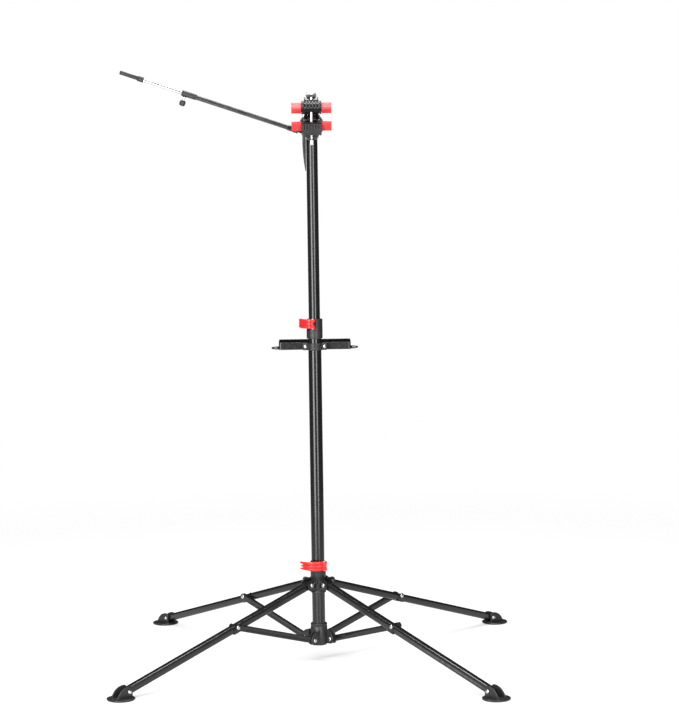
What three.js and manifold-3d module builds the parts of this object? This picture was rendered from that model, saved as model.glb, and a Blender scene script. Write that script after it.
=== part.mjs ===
// Folding bike repair stand, modelled unfolded with its mast drawn up.
// Millimetres. +Z is up, and the origin is on the floor under the mast's axis.
// The clamp head reaches out along -Y. The four legs stand at the diagonals.
import * as THREE from 'three';
import { mergeVertices } from 'three/addons/utils/BufferGeometryUtils.js';
import Module from 'manifold-3d';

const wasm = await Module();
wasm.setup();

// ---------------------------------------------------------------- driving dimensions
const GAP = 0.3;                  // clearance between pieces that touch
const BORE_GAP = 0.4;             // clearance round a pin
const TUBE_SIDES = 24;
const SMALL_SIDES = 10;
const ARC_STEPS = 4;

const BASE_TURN = -3.7;           // degrees, base against head, as the round mast allows
const LEGS = [
  { name: 'front_left', azimuth: 225 + BASE_TURN },
  { name: 'front_right', azimuth: 315 + BASE_TURN },
  { name: 'rear_right', azimuth: 45 + BASE_TURN },
  { name: 'rear_left', azimuth: 135 + BASE_TURN },
];
const PIVOT_RADIUS = 34;          // hub and collar pivots, from the mast's axis
const HUB_Z = 208;                // hub pivots
const COLLAR_PIVOT_Z = 58;        // bottom collar pivots
const BRACE_RADIUS = 299.5;       // leg-and-brace pivot, from the mast's axis
const FOOT_RADIUS = 658;          // foot pivots, from the mast's axis
const FOOT_Z = 19;
const FOOT = { radius: 37, centre: 18, ear: 3.6 };
const LEG_WIDTH = 20;
const LEG_HEIGHT = 20.5;
const LEG_ROUND = 5.5;            // radius along the leg's four long edges
const LEG_WALL = 1.6;
const BRACE_WIDTH = 8;
const BRACE_HEIGHT = 17;
const BRACE_OFFSET = 15.5;        // brace centre beside the leg's centre plane
const RIVET_RADIUS = 3;
const RIVET_HEAD = { radius: 5.5, height: 2.6 };

const MAIN_TUBE = { outer: 17.5, inner: 15.9, bottom: 48.6, top: 905 };
const UPPER_TUBE = { outer: 15.2, inner: 13.7, bottom: 705 };
const COLLAR = { radius: 22.6, bottom: 40, top: 100, floor: 8 };
const HUB = { radius: 20.8, bottom: 184, top: 270, plate: 2.2, plateHeight: 30, reach: 49 };
const CLAMP = { radius: 21.5, bottom: 876, top: 928 };
const LEVER = {
  height: 25, tailHeight: 20, pinRadius: 28.4, headRadius: 6.6, sweep: 122, endRadius: 47,
  swing: 110,
};
const PIN_RADIUS = 2.5;
const HUB_LEVER = { azimuth: -52, z: 259.5 };
const MAST_LEVER = { azimuth: -100, z: 916.5 };

const TRAY = { halfWidth: 97, front: 13, back: 111, floor: 844, height: 19.5, sheet: 2 };
const TRAY_TAB = 20;
const STRAP = { halfWidth: 32, thick: 3.2, boltX: 25.8, boltRadius: 3 };

const AXIS_Z = 1447;              // the head's axis of rotation
const SHAFT = { outer: 13.5, inner: 11.5, back: 47, front: -182 };
const CROSSBAR = { outer: 17.5, back: 50, front: -74 };
const DISC_RADIUS = 33;
const JAW_HALF = 26;              // half width of both jaws' bodies
const PAD_END = 51.5;
const PAD_ARM = 24;
const PAD_THICK = 8;
const JAW_PIVOT = { reach: 157.4, z: 26.6 };
const JAW_OPEN = 13;              // degrees that the upper jaw stands open at rest
const SEAT_REACH = 252.5;         // middle of the lower V
const QR_REACH = 206.4;
const CAM = { z: 79.5, radius: 10, half: 12 };

const RING_Y = -121;
const ROD_RISE = 18.9;            // degrees above the horizontal at rest
const ROD_DROP = 24;              // from the head's axis down to the rod's own line
const ROD = { pin: 35, outer: 6, inner: 4.6, collar: 7.5, end: 349, core: 4.2 };
const KNOB_AT = 339;
const HOOK_AT = 454;
const QR_BORE = 4.7;

const DEG = Math.PI / 180;

// ---------------------------------------------------------------- materials
const finish = (color, roughness, metalness) => new THREE.MeshStandardMaterial({
  color, roughness, metalness,
});
const powderBlack = () => finish(0x1b1b1d, 0.35, 0.4);
const castBlack = () => finish(0x232325, 0.6, 0.1);
const lightGrip = () => finish(0x17171a, 0.5, 0.1);
const redPlastic = () => finish(0xd8302f, 0.4, 0.0);
const redRubber = () => finish(0xd93a3a, 0.7, 0.0);
const chrome = () => finish(0xd9dadc, 0.15, 1.0);

// ---------------------------------------------------------------- solid helpers
function toSolid(geometry) {
  const bare = geometry.clone();
  bare.deleteAttribute('normal');
  bare.deleteAttribute('uv');
  const merged = mergeVertices(bare, 1e-3);
  const corners = [];
  const index = merged.index.array;
  for (let i = 0; i < index.length; i += 3) {
    const [a, b, c] = [index[i], index[i + 1], index[i + 2]];
    if (a !== b && b !== c && c !== a) corners.push(a, b, c);
  }
  const vertProperties = new Float32Array(merged.attributes.position.array);
  const triVerts = new Uint32Array(corners);
  return new wasm.Manifold(new wasm.Mesh({ numProp: 3, vertProperties, triVerts }));
}

function toGeometry(solid) {
  const mesh = solid.getMesh();
  const geometry = new THREE.BufferGeometry();
  const position = new THREE.BufferAttribute(new Float32Array(mesh.vertProperties), 3);
  geometry.setAttribute('position', position);
  geometry.setIndex(Array.from(mesh.triVerts));
  geometry.computeVertexNormals();
  return geometry;
}

function shaped(base, { add = [], cut = [] }) {
  let solid = toSolid(base);
  for (const piece of add) solid = solid.add(toSolid(piece));
  for (const piece of cut) solid = solid.subtract(toSolid(piece));
  return toGeometry(solid);
}

// A turned solid about Z from [radius, z] points, bottom to top along its outside.
function turned(points, sides = TUBE_SIDES) {
  const profile = points.map(([radius, z]) => new THREE.Vector2(radius, z));
  return new THREE.LatheGeometry(profile, sides).rotateX(Math.PI / 2);
}

function ring(outer, inner, low, high, sides = TUBE_SIDES) {
  return turned([[inner, low], [outer, low], [outer, high], [inner, high], [inner, low]], sides);
}

function disc(radius, low, high, sides = TUBE_SIDES) {
  return turned([[0, low], [radius, low], [radius, high], [0, high]], sides);
}

const alongY = (geometry) => geometry.rotateX(-Math.PI / 2);
const alongX = (geometry) => geometry.rotateY(Math.PI / 2);

function block(x0, x1, y0, y1, z0, z1) {
  const box = new THREE.BoxGeometry(x1 - x0, y1 - y0, z1 - z0);
  return box.translate((x0 + x1) / 2, (y0 + y1) / 2, (z0 + z1) / 2);
}

function outline(points) {
  return new THREE.Shape(points.map(([x, y]) => new THREE.Vector2(x, y)));
}

function plate(shape, low, high) {
  const options = { depth: high - low, bevelEnabled: false, curveSegments: ARC_STEPS };
  return new THREE.ExtrudeGeometry(shape, options).translate(0, 0, low);
}

// A plate whose edges are rounded all round to the given radius.
function roundedPlate(shape, low, high, radius) {
  const options = {
    depth: high - low - 2 * radius, bevelEnabled: true, bevelThickness: radius,
    bevelSize: radius, bevelOffset: -radius, bevelSegments: 3, curveSegments: ARC_STEPS,
  };
  return new THREE.ExtrudeGeometry(shape, options).translate(0, 0, low + radius);
}

// A shape drawn in (x, z) and thickened along Y from low to high.
function uprightPlate(shape, low, high) {
  return plate(shape, -high, -low).rotateX(Math.PI / 2);
}

// A shape drawn in (reach in front of the mast, z) and thickened along X.
function sidePlate(shape, low, high) {
  const basis = new THREE.Matrix4().makeBasis(
    new THREE.Vector3(0, -1, 0), new THREE.Vector3(0, 0, 1), new THREE.Vector3(-1, 0, 0));
  return plate(shape, -high, -low).applyMatrix4(basis);
}

function stadium(length, height) {
  const shape = new THREE.Shape();
  shape.moveTo(0, -height / 2);
  shape.lineTo(length, -height / 2);
  shape.absarc(length, 0, height / 2, -Math.PI / 2, Math.PI / 2, false);
  shape.lineTo(0, height / 2);
  shape.absarc(0, 0, height / 2, Math.PI / 2, 3 * Math.PI / 2, false);
  return shape;
}

function node(parent, name, geometry, material, place = {}) {
  const mesh = new THREE.Mesh(geometry, material);
  mesh.name = name;
  mesh.position.set(...(place.at ?? [0, 0, 0]));
  mesh.rotation.set(...(place.turn ?? [0, 0, 0]));
  parent.add(mesh);
  return mesh;
}

function subgroup(parent, at, turn = [0, 0, 0]) {
  const group = new THREE.Group();
  group.position.set(...at);
  group.rotation.set(...turn);
  parent.add(group);
  return group;
}

// A domed rivet along Y, whose heads bear at y = low and y = high.
function rivet(low, high) {
  const { radius, height } = RIVET_HEAD;
  const half = (high - low) / 2;
  const side = [[radius, half], [radius, half + height * 0.5], [radius * 0.6, half + height]];
  const upper = [[RIVET_RADIUS, half], ...side, [0, half + height]];
  const lower = upper.map(([r, z]) => [r, -z]).reverse();
  return alongY(turned([...lower, ...upper], SMALL_SIDES)).translate(0, (low + high) / 2, 0);
}

function boreY(x, z, radius, half = 60) {
  return alongY(disc(radius, -half, half, 12)).translate(x, 0, z);
}

const PIN_BORE = RIVET_RADIUS + BORE_GAP;
const stand = new THREE.Group();

// ---------------------------------------------------------------- legs, braces and feet
const LEG_RUN = FOOT_RADIUS - PIVOT_RADIUS;
const LEG_DROP = HUB_Z - FOOT_Z;
const LEG_LENGTH = Math.hypot(LEG_RUN, LEG_DROP);
const LEG_PITCH = Math.atan2(LEG_DROP, LEG_RUN);
const BRACE_RUN = BRACE_RADIUS - PIVOT_RADIUS;
const BRACE_RISE = (HUB_Z - COLLAR_PIVOT_Z) / 2;
const BRACE_LENGTH = Math.hypot(BRACE_RUN, BRACE_RISE);
const BRACE_PITCH = Math.atan2(BRACE_RISE, BRACE_RUN);
const BRACE_Z = COLLAR_PIVOT_Z + BRACE_RISE;

function legGeometry() {
  const half = LEG_WIDTH / 2;
  const inside = LEG_HEIGHT / 2 - LEG_WALL;
  const along = BRACE_RUN * Math.cos(LEG_PITCH) + BRACE_RISE * Math.sin(LEG_PITCH);
  const above = BRACE_RUN * Math.sin(LEG_PITCH) - BRACE_RISE * Math.cos(LEG_PITCH);
  const section = outline([
    [LEG_WALL - half, -inside / 2], [-half / 2, -inside], [half / 2, -inside],
    [half - LEG_WALL, -inside / 2], [half - LEG_WALL, inside / 2], [half / 2, inside],
    [-half / 2, inside], [LEG_WALL - half, inside / 2],
  ]);
  const hollow = plate(section, 14, LEG_LENGTH - 14).applyMatrix4(new THREE.Matrix4().makeBasis(
    new THREE.Vector3(0, 1, 0), new THREE.Vector3(0, 0, 1), new THREE.Vector3(1, 0, 0)));
  const bores = [[0, 0], [along, above], [LEG_LENGTH, 0]];
  const bar = roundedPlate(stadium(LEG_LENGTH, LEG_HEIGHT), -half, half, LEG_ROUND);
  return shaped(bar.rotateX(Math.PI / 2), {
    cut: [hollow, ...bores.map(([x, z]) => boreY(x, z, PIN_BORE))],
  });
}

function braceGeometry() {
  const half = BRACE_WIDTH / 2;
  const wall = 1.5;
  const top = BRACE_HEIGHT / 2 - wall;
  const channel = block(14, BRACE_LENGTH - 14, wall - half, half - wall, -BRACE_HEIGHT, top);
  return shaped(uprightPlate(stadium(BRACE_LENGTH, BRACE_HEIGHT), -half, half), {
    cut: [channel, boreY(0, 0, PIN_BORE), boreY(BRACE_LENGTH, 0, PIN_BORE)],
  });
}

// The foot's own frame has its origin on the floor, under its pivot.
function footGeometry() {
  const { radius, centre } = FOOT;
  const inner = LEG_WIDTH / 2 + 0.6;
  const outer = inner + FOOT.ear;
  const base = turned([[0, 0], [radius, 0], [radius, 3], [radius - 3, 5], [0, 5]], 28);
  const ear = new THREE.Shape();
  ear.moveTo(-10, 2);
  ear.lineTo(-11, 27);
  ear.quadraticCurveTo(-9, 34, 0, 34);
  ear.quadraticCurveTo(30, 31, 41, 2);
  const sides = [[inner, outer], [-outer, -inner]];
  return shaped(base.translate(centre, 0, 0), {
    add: sides.map(([low, high]) => uprightPlate(ear, low, high)),
    cut: [boreY(0, FOOT_Z, PIN_BORE)],
  });
}

function addLeg({ name, azimuth }) {
  const sector = subgroup(stand, [0, 0, 0], [0, 0, azimuth * DEG]);
  const hubEar = LEG_WIDTH / 2 + 0.8 + HUB.plate;
  const footEar = LEG_WIDTH / 2 + 0.6 + FOOT.ear;
  const braceSide = BRACE_OFFSET + BRACE_WIDTH / 2;
  node(sector, `leg_${name}`, legGeometry(), powderBlack(), {
    at: [PIVOT_RADIUS, 0, HUB_Z], turn: [0, LEG_PITCH, 0],
  });
  node(sector, `brace_${name}`, braceGeometry(), powderBlack(), {
    at: [PIVOT_RADIUS, BRACE_OFFSET, COLLAR_PIVOT_Z], turn: [0, -BRACE_PITCH, 0],
  });
  node(sector, `foot_${name}`, footGeometry(), castBlack(), { at: [FOOT_RADIUS, 0, 0] });
  node(sector, `hub_rivet_${name}`, rivet(-hubEar - GAP, hubEar + GAP), chrome(), {
    at: [PIVOT_RADIUS, 0, HUB_Z],
  });
  node(sector, `brace_rivet_${name}`, rivet(-LEG_WIDTH / 2 - GAP, braceSide + GAP), chrome(), {
    at: [BRACE_RADIUS, 0, BRACE_Z],
  });
  node(sector, `foot_rivet_${name}`, rivet(-footEar - GAP, footEar + GAP), chrome(), {
    at: [FOOT_RADIUS, 0, FOOT_Z],
  });
}

// ---------------------------------------------------------------- hub and bottom collar
// One pressed plate: a flat middle against the sleeve and two ears that flare to the legs.
function wingPlate(azimuth) {
  const inner = LEG_WIDTH / 2 + 0.8;
  const outer = inner + HUB.plate;
  const flat = HUB.radius - 0.7;
  const corner = (across, distance) => [distance * Math.SQRT2 - across, across];
  const side = [
    [HUB.reach, inner], corner(inner, flat), corner(outer, flat + HUB.plate), [HUB.reach, outer],
  ];
  const turn = ([s, t]) => [(s + t) * Math.SQRT1_2, (t - s) * Math.SQRT1_2];
  const mirror = ([x, y]) => [x, -y];
  const [tipIn, bendIn, bendOut, tipOut] = side.map(turn);
  const points = [
    tipIn, bendIn, mirror(bendIn), mirror(tipIn), mirror(tipOut), mirror(bendOut), bendOut, tipOut,
  ];
  const half = HUB.plateHeight / 2;
  return plate(outline(points.reverse()), HUB_Z - half, HUB_Z + half).rotateZ(azimuth * DEG);
}

function earTrims(azimuth) {
  const half = HUB.plateHeight / 2 + 1;
  const reach = HUB.reach + 1;
  return [1, -1].map((side) => {
    const points = [[reach - 10, half * side], [reach, half * side], [reach, (half - 10) * side]];
    const wedge = outline(side > 0 ? points : points.reverse());
    const width = LEG_WIDTH / 2 + 4;
    return uprightPlate(wedge, -width, width).translate(0, 0, HUB_Z).rotateZ(azimuth * DEG);
  });
}

function leverLug(z, azimuth, radius) {
  const lug = block(radius - 1.5, LEVER.pinRadius, -4.5, 4.5, z - 4, z + 4);
  const eye = disc(4.5, z - 4, z + 4, 12).translate(LEVER.pinRadius, 0, 0);
  const hole = disc(PIN_RADIUS + BORE_GAP, z - 9, z + 9, 12).translate(LEVER.pinRadius, 0, 0);
  const turn = azimuth * DEG;
  return { add: [lug.rotateZ(turn), eye.rotateZ(turn)], cut: [hole.rotateZ(turn)] };
}

// The saw cut that lets a clamp collar close on its tube.
function clampSlit(low, high, azimuth) {
  return block(10, 30, -1.2, 1.2, low, high).rotateZ(azimuth * DEG);
}

function hubGeometry() {
  const sleeve = turned([
    [MAIN_TUBE.outer + 0.35, HUB.bottom], [HUB.radius - 1.5, HUB.bottom],
    [HUB.radius, HUB.bottom + 1.5], [HUB.radius, HUB.top], [MAIN_TUBE.outer + 0.35, HUB.top],
    [MAIN_TUBE.outer + 0.35, HUB.bottom],
  ]);
  const bores = LEGS.map(({ azimuth }) => {
    return boreY(PIVOT_RADIUS, HUB_Z, PIN_BORE, 16).rotateZ(azimuth * DEG);
  });
  const lug = leverLug(HUB_LEVER.z, HUB_LEVER.azimuth, HUB.radius);
  return shaped(sleeve, {
    add: [...LEGS.map(({ azimuth }) => wingPlate(azimuth + 45)), ...lug.add],
    cut: [
      ...bores, ...LEGS.flatMap(({ azimuth }) => earTrims(azimuth)), ...lug.cut,
      clampSlit(HUB_Z + 30, HUB.top + 1, HUB_LEVER.azimuth + 20),
    ],
  });
}

// A clevis for one brace, with its fixed pivot pin, at the bottom collar.
function braceClevis(azimuth) {
  const ear = new THREE.Shape();
  ear.moveTo(16, 45);
  ear.lineTo(34, 45);
  ear.absarc(PIVOT_RADIUS, COLLAR_PIVOT_Z, 13, -Math.PI * 0.46, Math.PI * 0.24, false);
  ear.quadraticCurveTo(40, 80, 16, 84);
  const gap = BRACE_WIDTH / 2 + 0.6;
  const thick = 2.5;
  const sides = [[-gap - thick, -gap], [gap, gap + thick]];
  const bearing = gap + thick - 0.1;
  const pin = rivet(-bearing, bearing).translate(PIVOT_RADIUS, 0, COLLAR_PIVOT_Z);
  const pieces = [...sides.map(([low, high]) => uprightPlate(ear, low, high)), pin];
  return pieces.map((piece) => piece.translate(0, BRACE_OFFSET, 0).rotateZ(azimuth * DEG));
}

function bottomCollarGeometry() {
  const bore = MAIN_TUBE.outer + 0.35;
  const body = turned([
    [0, COLLAR.bottom], [COLLAR.radius - 3, COLLAR.bottom], [COLLAR.radius, COLLAR.bottom + 5],
    [COLLAR.radius, COLLAR.top - 2], [COLLAR.radius - 2, COLLAR.top], [bore, COLLAR.top],
    [bore, COLLAR.bottom + COLLAR.floor], [0, COLLAR.bottom + COLLAR.floor],
  ]);
  return shaped(body, { add: LEGS.flatMap(({ azimuth }) => braceClevis(azimuth)) });
}

// ---------------------------------------------------------------- quick-release levers
// Seen from above, with the mast's axis at the origin and the pin on +X. The arm winds
// clockwise round the collar and stands further off it towards its tail.
function leverGeometry() {
  const steps = 12;
  const half = LEVER.height / 2;
  const edge = (side) => Array.from({ length: steps + 1 }, (_, k) => {
    const part = k / steps;
    const grow = (LEVER.endRadius - LEVER.pinRadius) * part ** 1.6;
    const radius = LEVER.pinRadius + grow + side * (3.2 - 0.7 * part);
    const angle = -part * LEVER.sweep * DEG;
    return [radius * Math.cos(angle), radius * Math.sin(angle)];
  });
  const arm = plate(outline([...edge(1), ...edge(-1).reverse()].reverse()), -half, half);
  const head = disc(LEVER.headRadius, -half, half, 16).translate(LEVER.pinRadius, 0, 0);
  const hole = disc(PIN_RADIUS + BORE_GAP, -half - 1, half + 1, 12).translate(LEVER.pinRadius, 0, 0);
  return shaped(arm, { add: [head], cut: [...eyePocket(), hole, ...leverTail()] });
}

// Room for the collar's lug through the lever's whole swing, closed on the outside.
function eyePocket() {
  const half = 4.6;
  const eye = disc(half + 0.3, -half, half, 16).translate(LEVER.pinRadius, 0, 0);
  const turns = Array.from({ length: 6 }, (_, k) => 180 - (LEVER.swing * k) / 5);
  return [eye, ...turns.map((angle) => {
    const room = block(0, 14, -half - 0.3, half + 0.3, -half, half);
    return room.rotateZ(angle * DEG).translate(LEVER.pinRadius, 0, 0);
  })];
}

// The tapers above and below the arm's tail, and the two notches in its end.
function leverTail() {
  const high = LEVER.height / 2;
  const low = LEVER.tailHeight / 2;
  const taper = [[-1, low], [41, high], [41, high + 5], [-1, high + 5]];
  const under = taper.map(([x, z]) => [x, -z]).reverse();
  const notches = [
    [-1, -7], [12, -5], [12, -2.6], [6, -1], [6, 1], [12, 2.6], [12, 5], [-1, 7],
  ];
  const turn = LEVER.sweep * DEG;
  const end = [LEVER.endRadius * Math.cos(turn), -LEVER.endRadius * Math.sin(turn), 0];
  return [[taper, 40], [under, 40], [notches, 8]].map(([points, width]) => {
    const tool = uprightPlate(outline(points), -width, width);
    return tool.rotateZ(Math.PI / 2 - turn + 14 * DEG).translate(...end);
  });
}

function addLever(prefix, { azimuth, z }) {
  const turn = [0, 0, azimuth * DEG];
  const half = LEVER.height / 2 + GAP;
  const pin = turned([
    [0, -half - 1.5], [4, -half - 1.5], [4, -half], [PIN_RADIUS, -half], [PIN_RADIUS, half],
    [4, half], [4, half + 1.5], [0, half + 1.5],
  ], SMALL_SIDES).translate(LEVER.pinRadius, 0, 0);
  node(stand, `${prefix}_clamp_lever`, leverGeometry(), redPlastic(), { at: [0, 0, z], turn });
  node(stand, `${prefix}_clamp_pin`, pin, chrome(), { at: [0, 0, z], turn });
}

function screwKnob(bearing) {
  return alongY(turned([
    [0, bearing], [3.5, bearing], [3.5, bearing + 3], [7.5, bearing + 3.5],
    [7.5, bearing + 12], [6.5, bearing + 13], [0, bearing + 13],
  ], 12));
}

// ---------------------------------------------------------------- mast
function upperTubeGeometry() {
  const top = AXIS_Z - 6;
  const fishMouth = alongY(disc(CROSSBAR.outer + GAP, -40, 40, 32)).translate(0, 0, AXIS_Z);
  return shaped(ring(UPPER_TUBE.outer, UPPER_TUBE.inner, UPPER_TUBE.bottom, top), {
    cut: [fishMouth],
  });
}

function upperCollarGeometry() {
  const wide = MAIN_TUBE.outer + 0.35;
  const narrow = UPPER_TUBE.outer + 0.4;
  const step = MAIN_TUBE.top + GAP;
  const body = turned([
    [wide, CLAMP.bottom], [CLAMP.radius, CLAMP.bottom], [CLAMP.radius, CLAMP.top - 1],
    [CLAMP.radius - 1, CLAMP.top], [narrow, CLAMP.top], [narrow, step], [wide, step],
    [wide, CLAMP.bottom],
  ]);
  const lug = leverLug(MAST_LEVER.z, MAST_LEVER.azimuth, CLAMP.radius);
  return shaped(body, {
    add: lug.add,
    cut: [...lug.cut, clampSlit(step + 1, CLAMP.top + 1, MAST_LEVER.azimuth + 20)],
  });
}

function trayGeometry() {
  const { halfWidth: w, front, back, floor, height, sheet } = TRAY;
  const tip = w + TRAY_TAB;
  const rim = outline([
    [-w, front], [w, front], [w, front + 12], [tip, front + 38], [tip, back - 38],
    [w, back - 12], [w, back], [30, back], [14, back + TRAY_TAB], [-14, back + TRAY_TAB],
    [-30, back], [-w, back], [-w, back - 12], [-tip, back - 38], [-tip, front + 38],
    [-w, front + 12],
  ]);
  const pan = plate(rim, floor, floor + sheet);
  const top = floor + height;
  const walls = [
    block(-w, w, front, front + sheet, floor, top), block(-w, w, back - sheet, back, floor, top),
    block(-w, -w + sheet, front, back, floor, top), block(w - sheet, w, front, back, floor, top),
  ];
  const saddle = block(-STRAP.halfWidth, STRAP.halfWidth, 1, front + 1, floor, top);
  const mastHole = disc(MAIN_TUBE.outer + 0.35, floor - 1, top + 1);
  const tabHole = block(w + 5, tip - 6, (front + back) / 2 - 10, (front + back) / 2 + 10, 0, top);
  const bolts = [-1, 1].map((side) => {
    return boreY(side * STRAP.boltX, floor + height / 2, STRAP.boltRadius + BORE_GAP, 40);
  });
  const tabHoles = [tabHole, tabHole.clone().rotateZ(Math.PI).translate(0, front + back, 0)];
  return shaped(pan, { add: [...walls, saddle], cut: [mastHole, ...bolts, ...tabHoles] });
}

function strapGeometry() {
  const low = TRAY.floor;
  const high = TRAY.floor + TRAY.height;
  const outer = MAIN_TUBE.outer + STRAP.thick;
  const wrap = disc(outer, low, high);
  const flanges = block(-STRAP.halfWidth, STRAP.halfWidth, -5, -1 - GAP, low, high);
  const behind = block(-60, 60, -1 - GAP, 60, low - 1, high + 1);
  const bolts = [-1, 1].map((side) => {
    return boreY(side * STRAP.boltX, (low + high) / 2, STRAP.boltRadius + BORE_GAP, 40);
  });
  return shaped(wrap, {
    add: [flanges],
    cut: [behind, disc(MAIN_TUBE.outer + 0.35, low - 1, high + 1), ...bolts],
  });
}

function trayBolt() {
  const back = TRAY.front + TRAY.sheet + GAP;
  const profile = [
    [0, -9], [3.5, -9], [4.5, -8], [4.5, -5 - GAP], [STRAP.boltRadius, -5 - GAP],
    [STRAP.boltRadius, back], [5, back], [5, back + 4], [0, back + 4],
  ];
  return alongY(turned(profile, SMALL_SIDES));
}

function addMast() {
  const tray = TRAY.floor + TRAY.height / 2;
  const mainTube = ring(MAIN_TUBE.outer, MAIN_TUBE.inner, MAIN_TUBE.bottom, MAIN_TUBE.top);
  node(stand, 'bottom_collar', bottomCollarGeometry(), castBlack());
  node(stand, 'main_tube', mainTube, powderBlack());
  node(stand, 'hub', hubGeometry(), castBlack());
  addLever('hub', HUB_LEVER);
  node(stand, 'hub_clamp_knob', screwKnob(HUB.radius + GAP), castBlack(), { at: [0, 0, 240] });
  node(stand, 'mast_collar', upperCollarGeometry(), castBlack());
  addLever('mast', MAST_LEVER);
  node(stand, 'mast_clamp_knob', screwKnob(CLAMP.radius + GAP), castBlack(), { at: [0, 0, 888] });
  node(stand, 'upper_tube', upperTubeGeometry(), powderBlack());
  node(stand, 'tool_tray', trayGeometry(), powderBlack());
  node(stand, 'tray_strap', strapGeometry(), castBlack());
  node(stand, 'tray_bolt_left', trayBolt(), chrome(), { at: [-STRAP.boltX, 0, tray] });
  node(stand, 'tray_bolt_right', trayBolt(), chrome(), { at: [STRAP.boltX, 0, tray] });
}

// ---------------------------------------------------------------- head
// In the head's frame the axis of rotation is Y through the origin.
function crossbarGeometry() {
  const bore = SHAFT.outer + 0.4;
  const { outer, back, front } = CROSSBAR;
  return alongY(turned([
    [bore, front], [outer, front], [outer, back - 7], [outer + 1.2, back - 6], [outer + 1.2, back],
    [bore, back], [bore, front],
  ]));
}

function fixedDiscGeometry() {
  const hub = CROSSBAR.outer + GAP;
  return alongY(turned([
    [SHAFT.outer + 0.5, -87], [DISC_RADIUS - 1, -87], [DISC_RADIUS, -86], [DISC_RADIUS, -78],
    [20.5, -78], [20.5, -68], [hub, -68], [hub, -74 - GAP], [SHAFT.outer + 0.5, -74 - GAP],
    [SHAFT.outer + 0.5, -87],
  ], 32));
}

function turningDiscGeometry() {
  const bore = SHAFT.outer + GAP + 0.1;
  return alongY(turned([
    [bore, -105], [19.5, -105], [19.5, -97], [DISC_RADIUS, -97], [DISC_RADIUS, -88.6],
    [DISC_RADIUS - 1, -87.6], [bore, -87.6], [bore, -105],
  ], 32));
}

function lockHandleGeometry() {
  const top = 17;
  const tip = -125;
  const blade = new THREE.Shape();
  blade.moveTo(-16, top);
  blade.lineTo(-16.5, tip + 6);
  blade.lineTo(-18, tip);
  blade.quadraticCurveTo(-29, -66, -23, 8);
  blade.lineTo(-21, top);
  const barrel = alongY(turned([
    [0, 50.4], [14.5, 50.4], [14.5, 92], [12.5, 95], [0, 95],
  ], 20));
  const web = block(-17, -2, 76, 95, -12, 12);
  return shaped(barrel, { add: [uprightPlate(blade, 76, 95), web] });
}

function headBlockGeometry() {
  const { reach, z } = JAW_PIVOT;
  const body = sidePlate(outline([
    [145, -22], [188, -22], [188, 12], [182, 17.5], [145, 17.5],
  ]), -22, 22);
  const ear = new THREE.Shape();
  ear.moveTo(147, 10);
  ear.lineTo(171, 10);
  ear.absarc(reach, z, 8, 0, Math.PI, false);
  const lug = block(-14.5, 14.5, -171, -155, -36, -20);
  const gusset = uprightPlate(outline([[-22, -21], [-14.5, -31], [14.5, -31], [22, -21]]), -187, -176);
  const pivotHole = alongX(disc(PIN_BORE, -40, 40, 12)).translate(0, -reach, z);
  const boltHole = alongX(disc(PIN_BORE, -40, 40, 12)).translate(0, -163, -28.5);
  const shaftBore = alongY(disc(SHAFT.outer + 0.4, SHAFT.front - 1, -140));
  return shaped(body, {
    add: [sidePlate(ear, -9.5, 9.5), lug, gusset],
    cut: [pivotHole, boltHole, shaftBore],
  });
}

// A V-shaped band, round at its tips, with its corner at (0, 0) and its arms going up.
function veeBand(arm, thick) {
  const half = thick / 2;
  const tip = arm * Math.SQRT1_2;
  const shape = new THREE.Shape();
  shape.moveTo(0, -half * Math.SQRT2);
  shape.lineTo(tip / 2, tip / 2 - half * Math.SQRT2);
  shape.absarc(tip, tip, half, -Math.PI / 4, Math.PI * 0.75, false);
  shape.lineTo(0, half * Math.SQRT2);
  shape.absarc(-tip, tip, half, Math.PI / 4, Math.PI * 1.25, false);
  return shape;
}

const SEAT_CORNER_Z = -8.7;
const WING = { arm: 22, thick: 3.4, end: 49 };

function padGeometry(side) {
  const span = [JAW_HALF + 0.5, PAD_END].map((x) => x * side).sort((a, b) => a - b);
  const pocket = [0, WING.end + 0.4].map((x) => x * side).sort((a, b) => a - b);
  return shaped(sidePlate(veeBand(PAD_ARM, PAD_THICK), ...span), {
    cut: [sidePlate(veeBand(WING.arm + 0.4, WING.thick + 0.8), ...pocket)],
  });
}

function lowerJawGeometry() {
  const body = new THREE.Shape();
  body.moveTo(188.3, -23);
  body.lineTo(256, -23);
  body.quadraticCurveTo(273, -21, 277, 6);
  body.lineTo(271, 10);
  body.lineTo(SEAT_REACH + 1, -5);
  body.lineTo(SEAT_REACH - 1, -5);
  body.lineTo(236, 10);
  body.lineTo(231, 8);
  body.lineTo(224, 5.5);
  body.lineTo(188.3, 5.5);
  const wings = sidePlate(veeBand(WING.arm, WING.thick), -WING.end, WING.end);
  const rodSlot = block(-5.5, 5.5, -221, -187, -40, 20);
  return shaped(sidePlate(body, -JAW_HALF, JAW_HALF), {
    add: [wings.translate(0, -SEAT_REACH, SEAT_CORNER_Z)],
    cut: [rodSlot],
  });
}

// The upper jaw's own frame has its pivot at the origin and its V pointing straight down.
const UPPER_SEAT = { reach: SEAT_REACH - JAW_PIVOT.reach, z: 9.7 };

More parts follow.
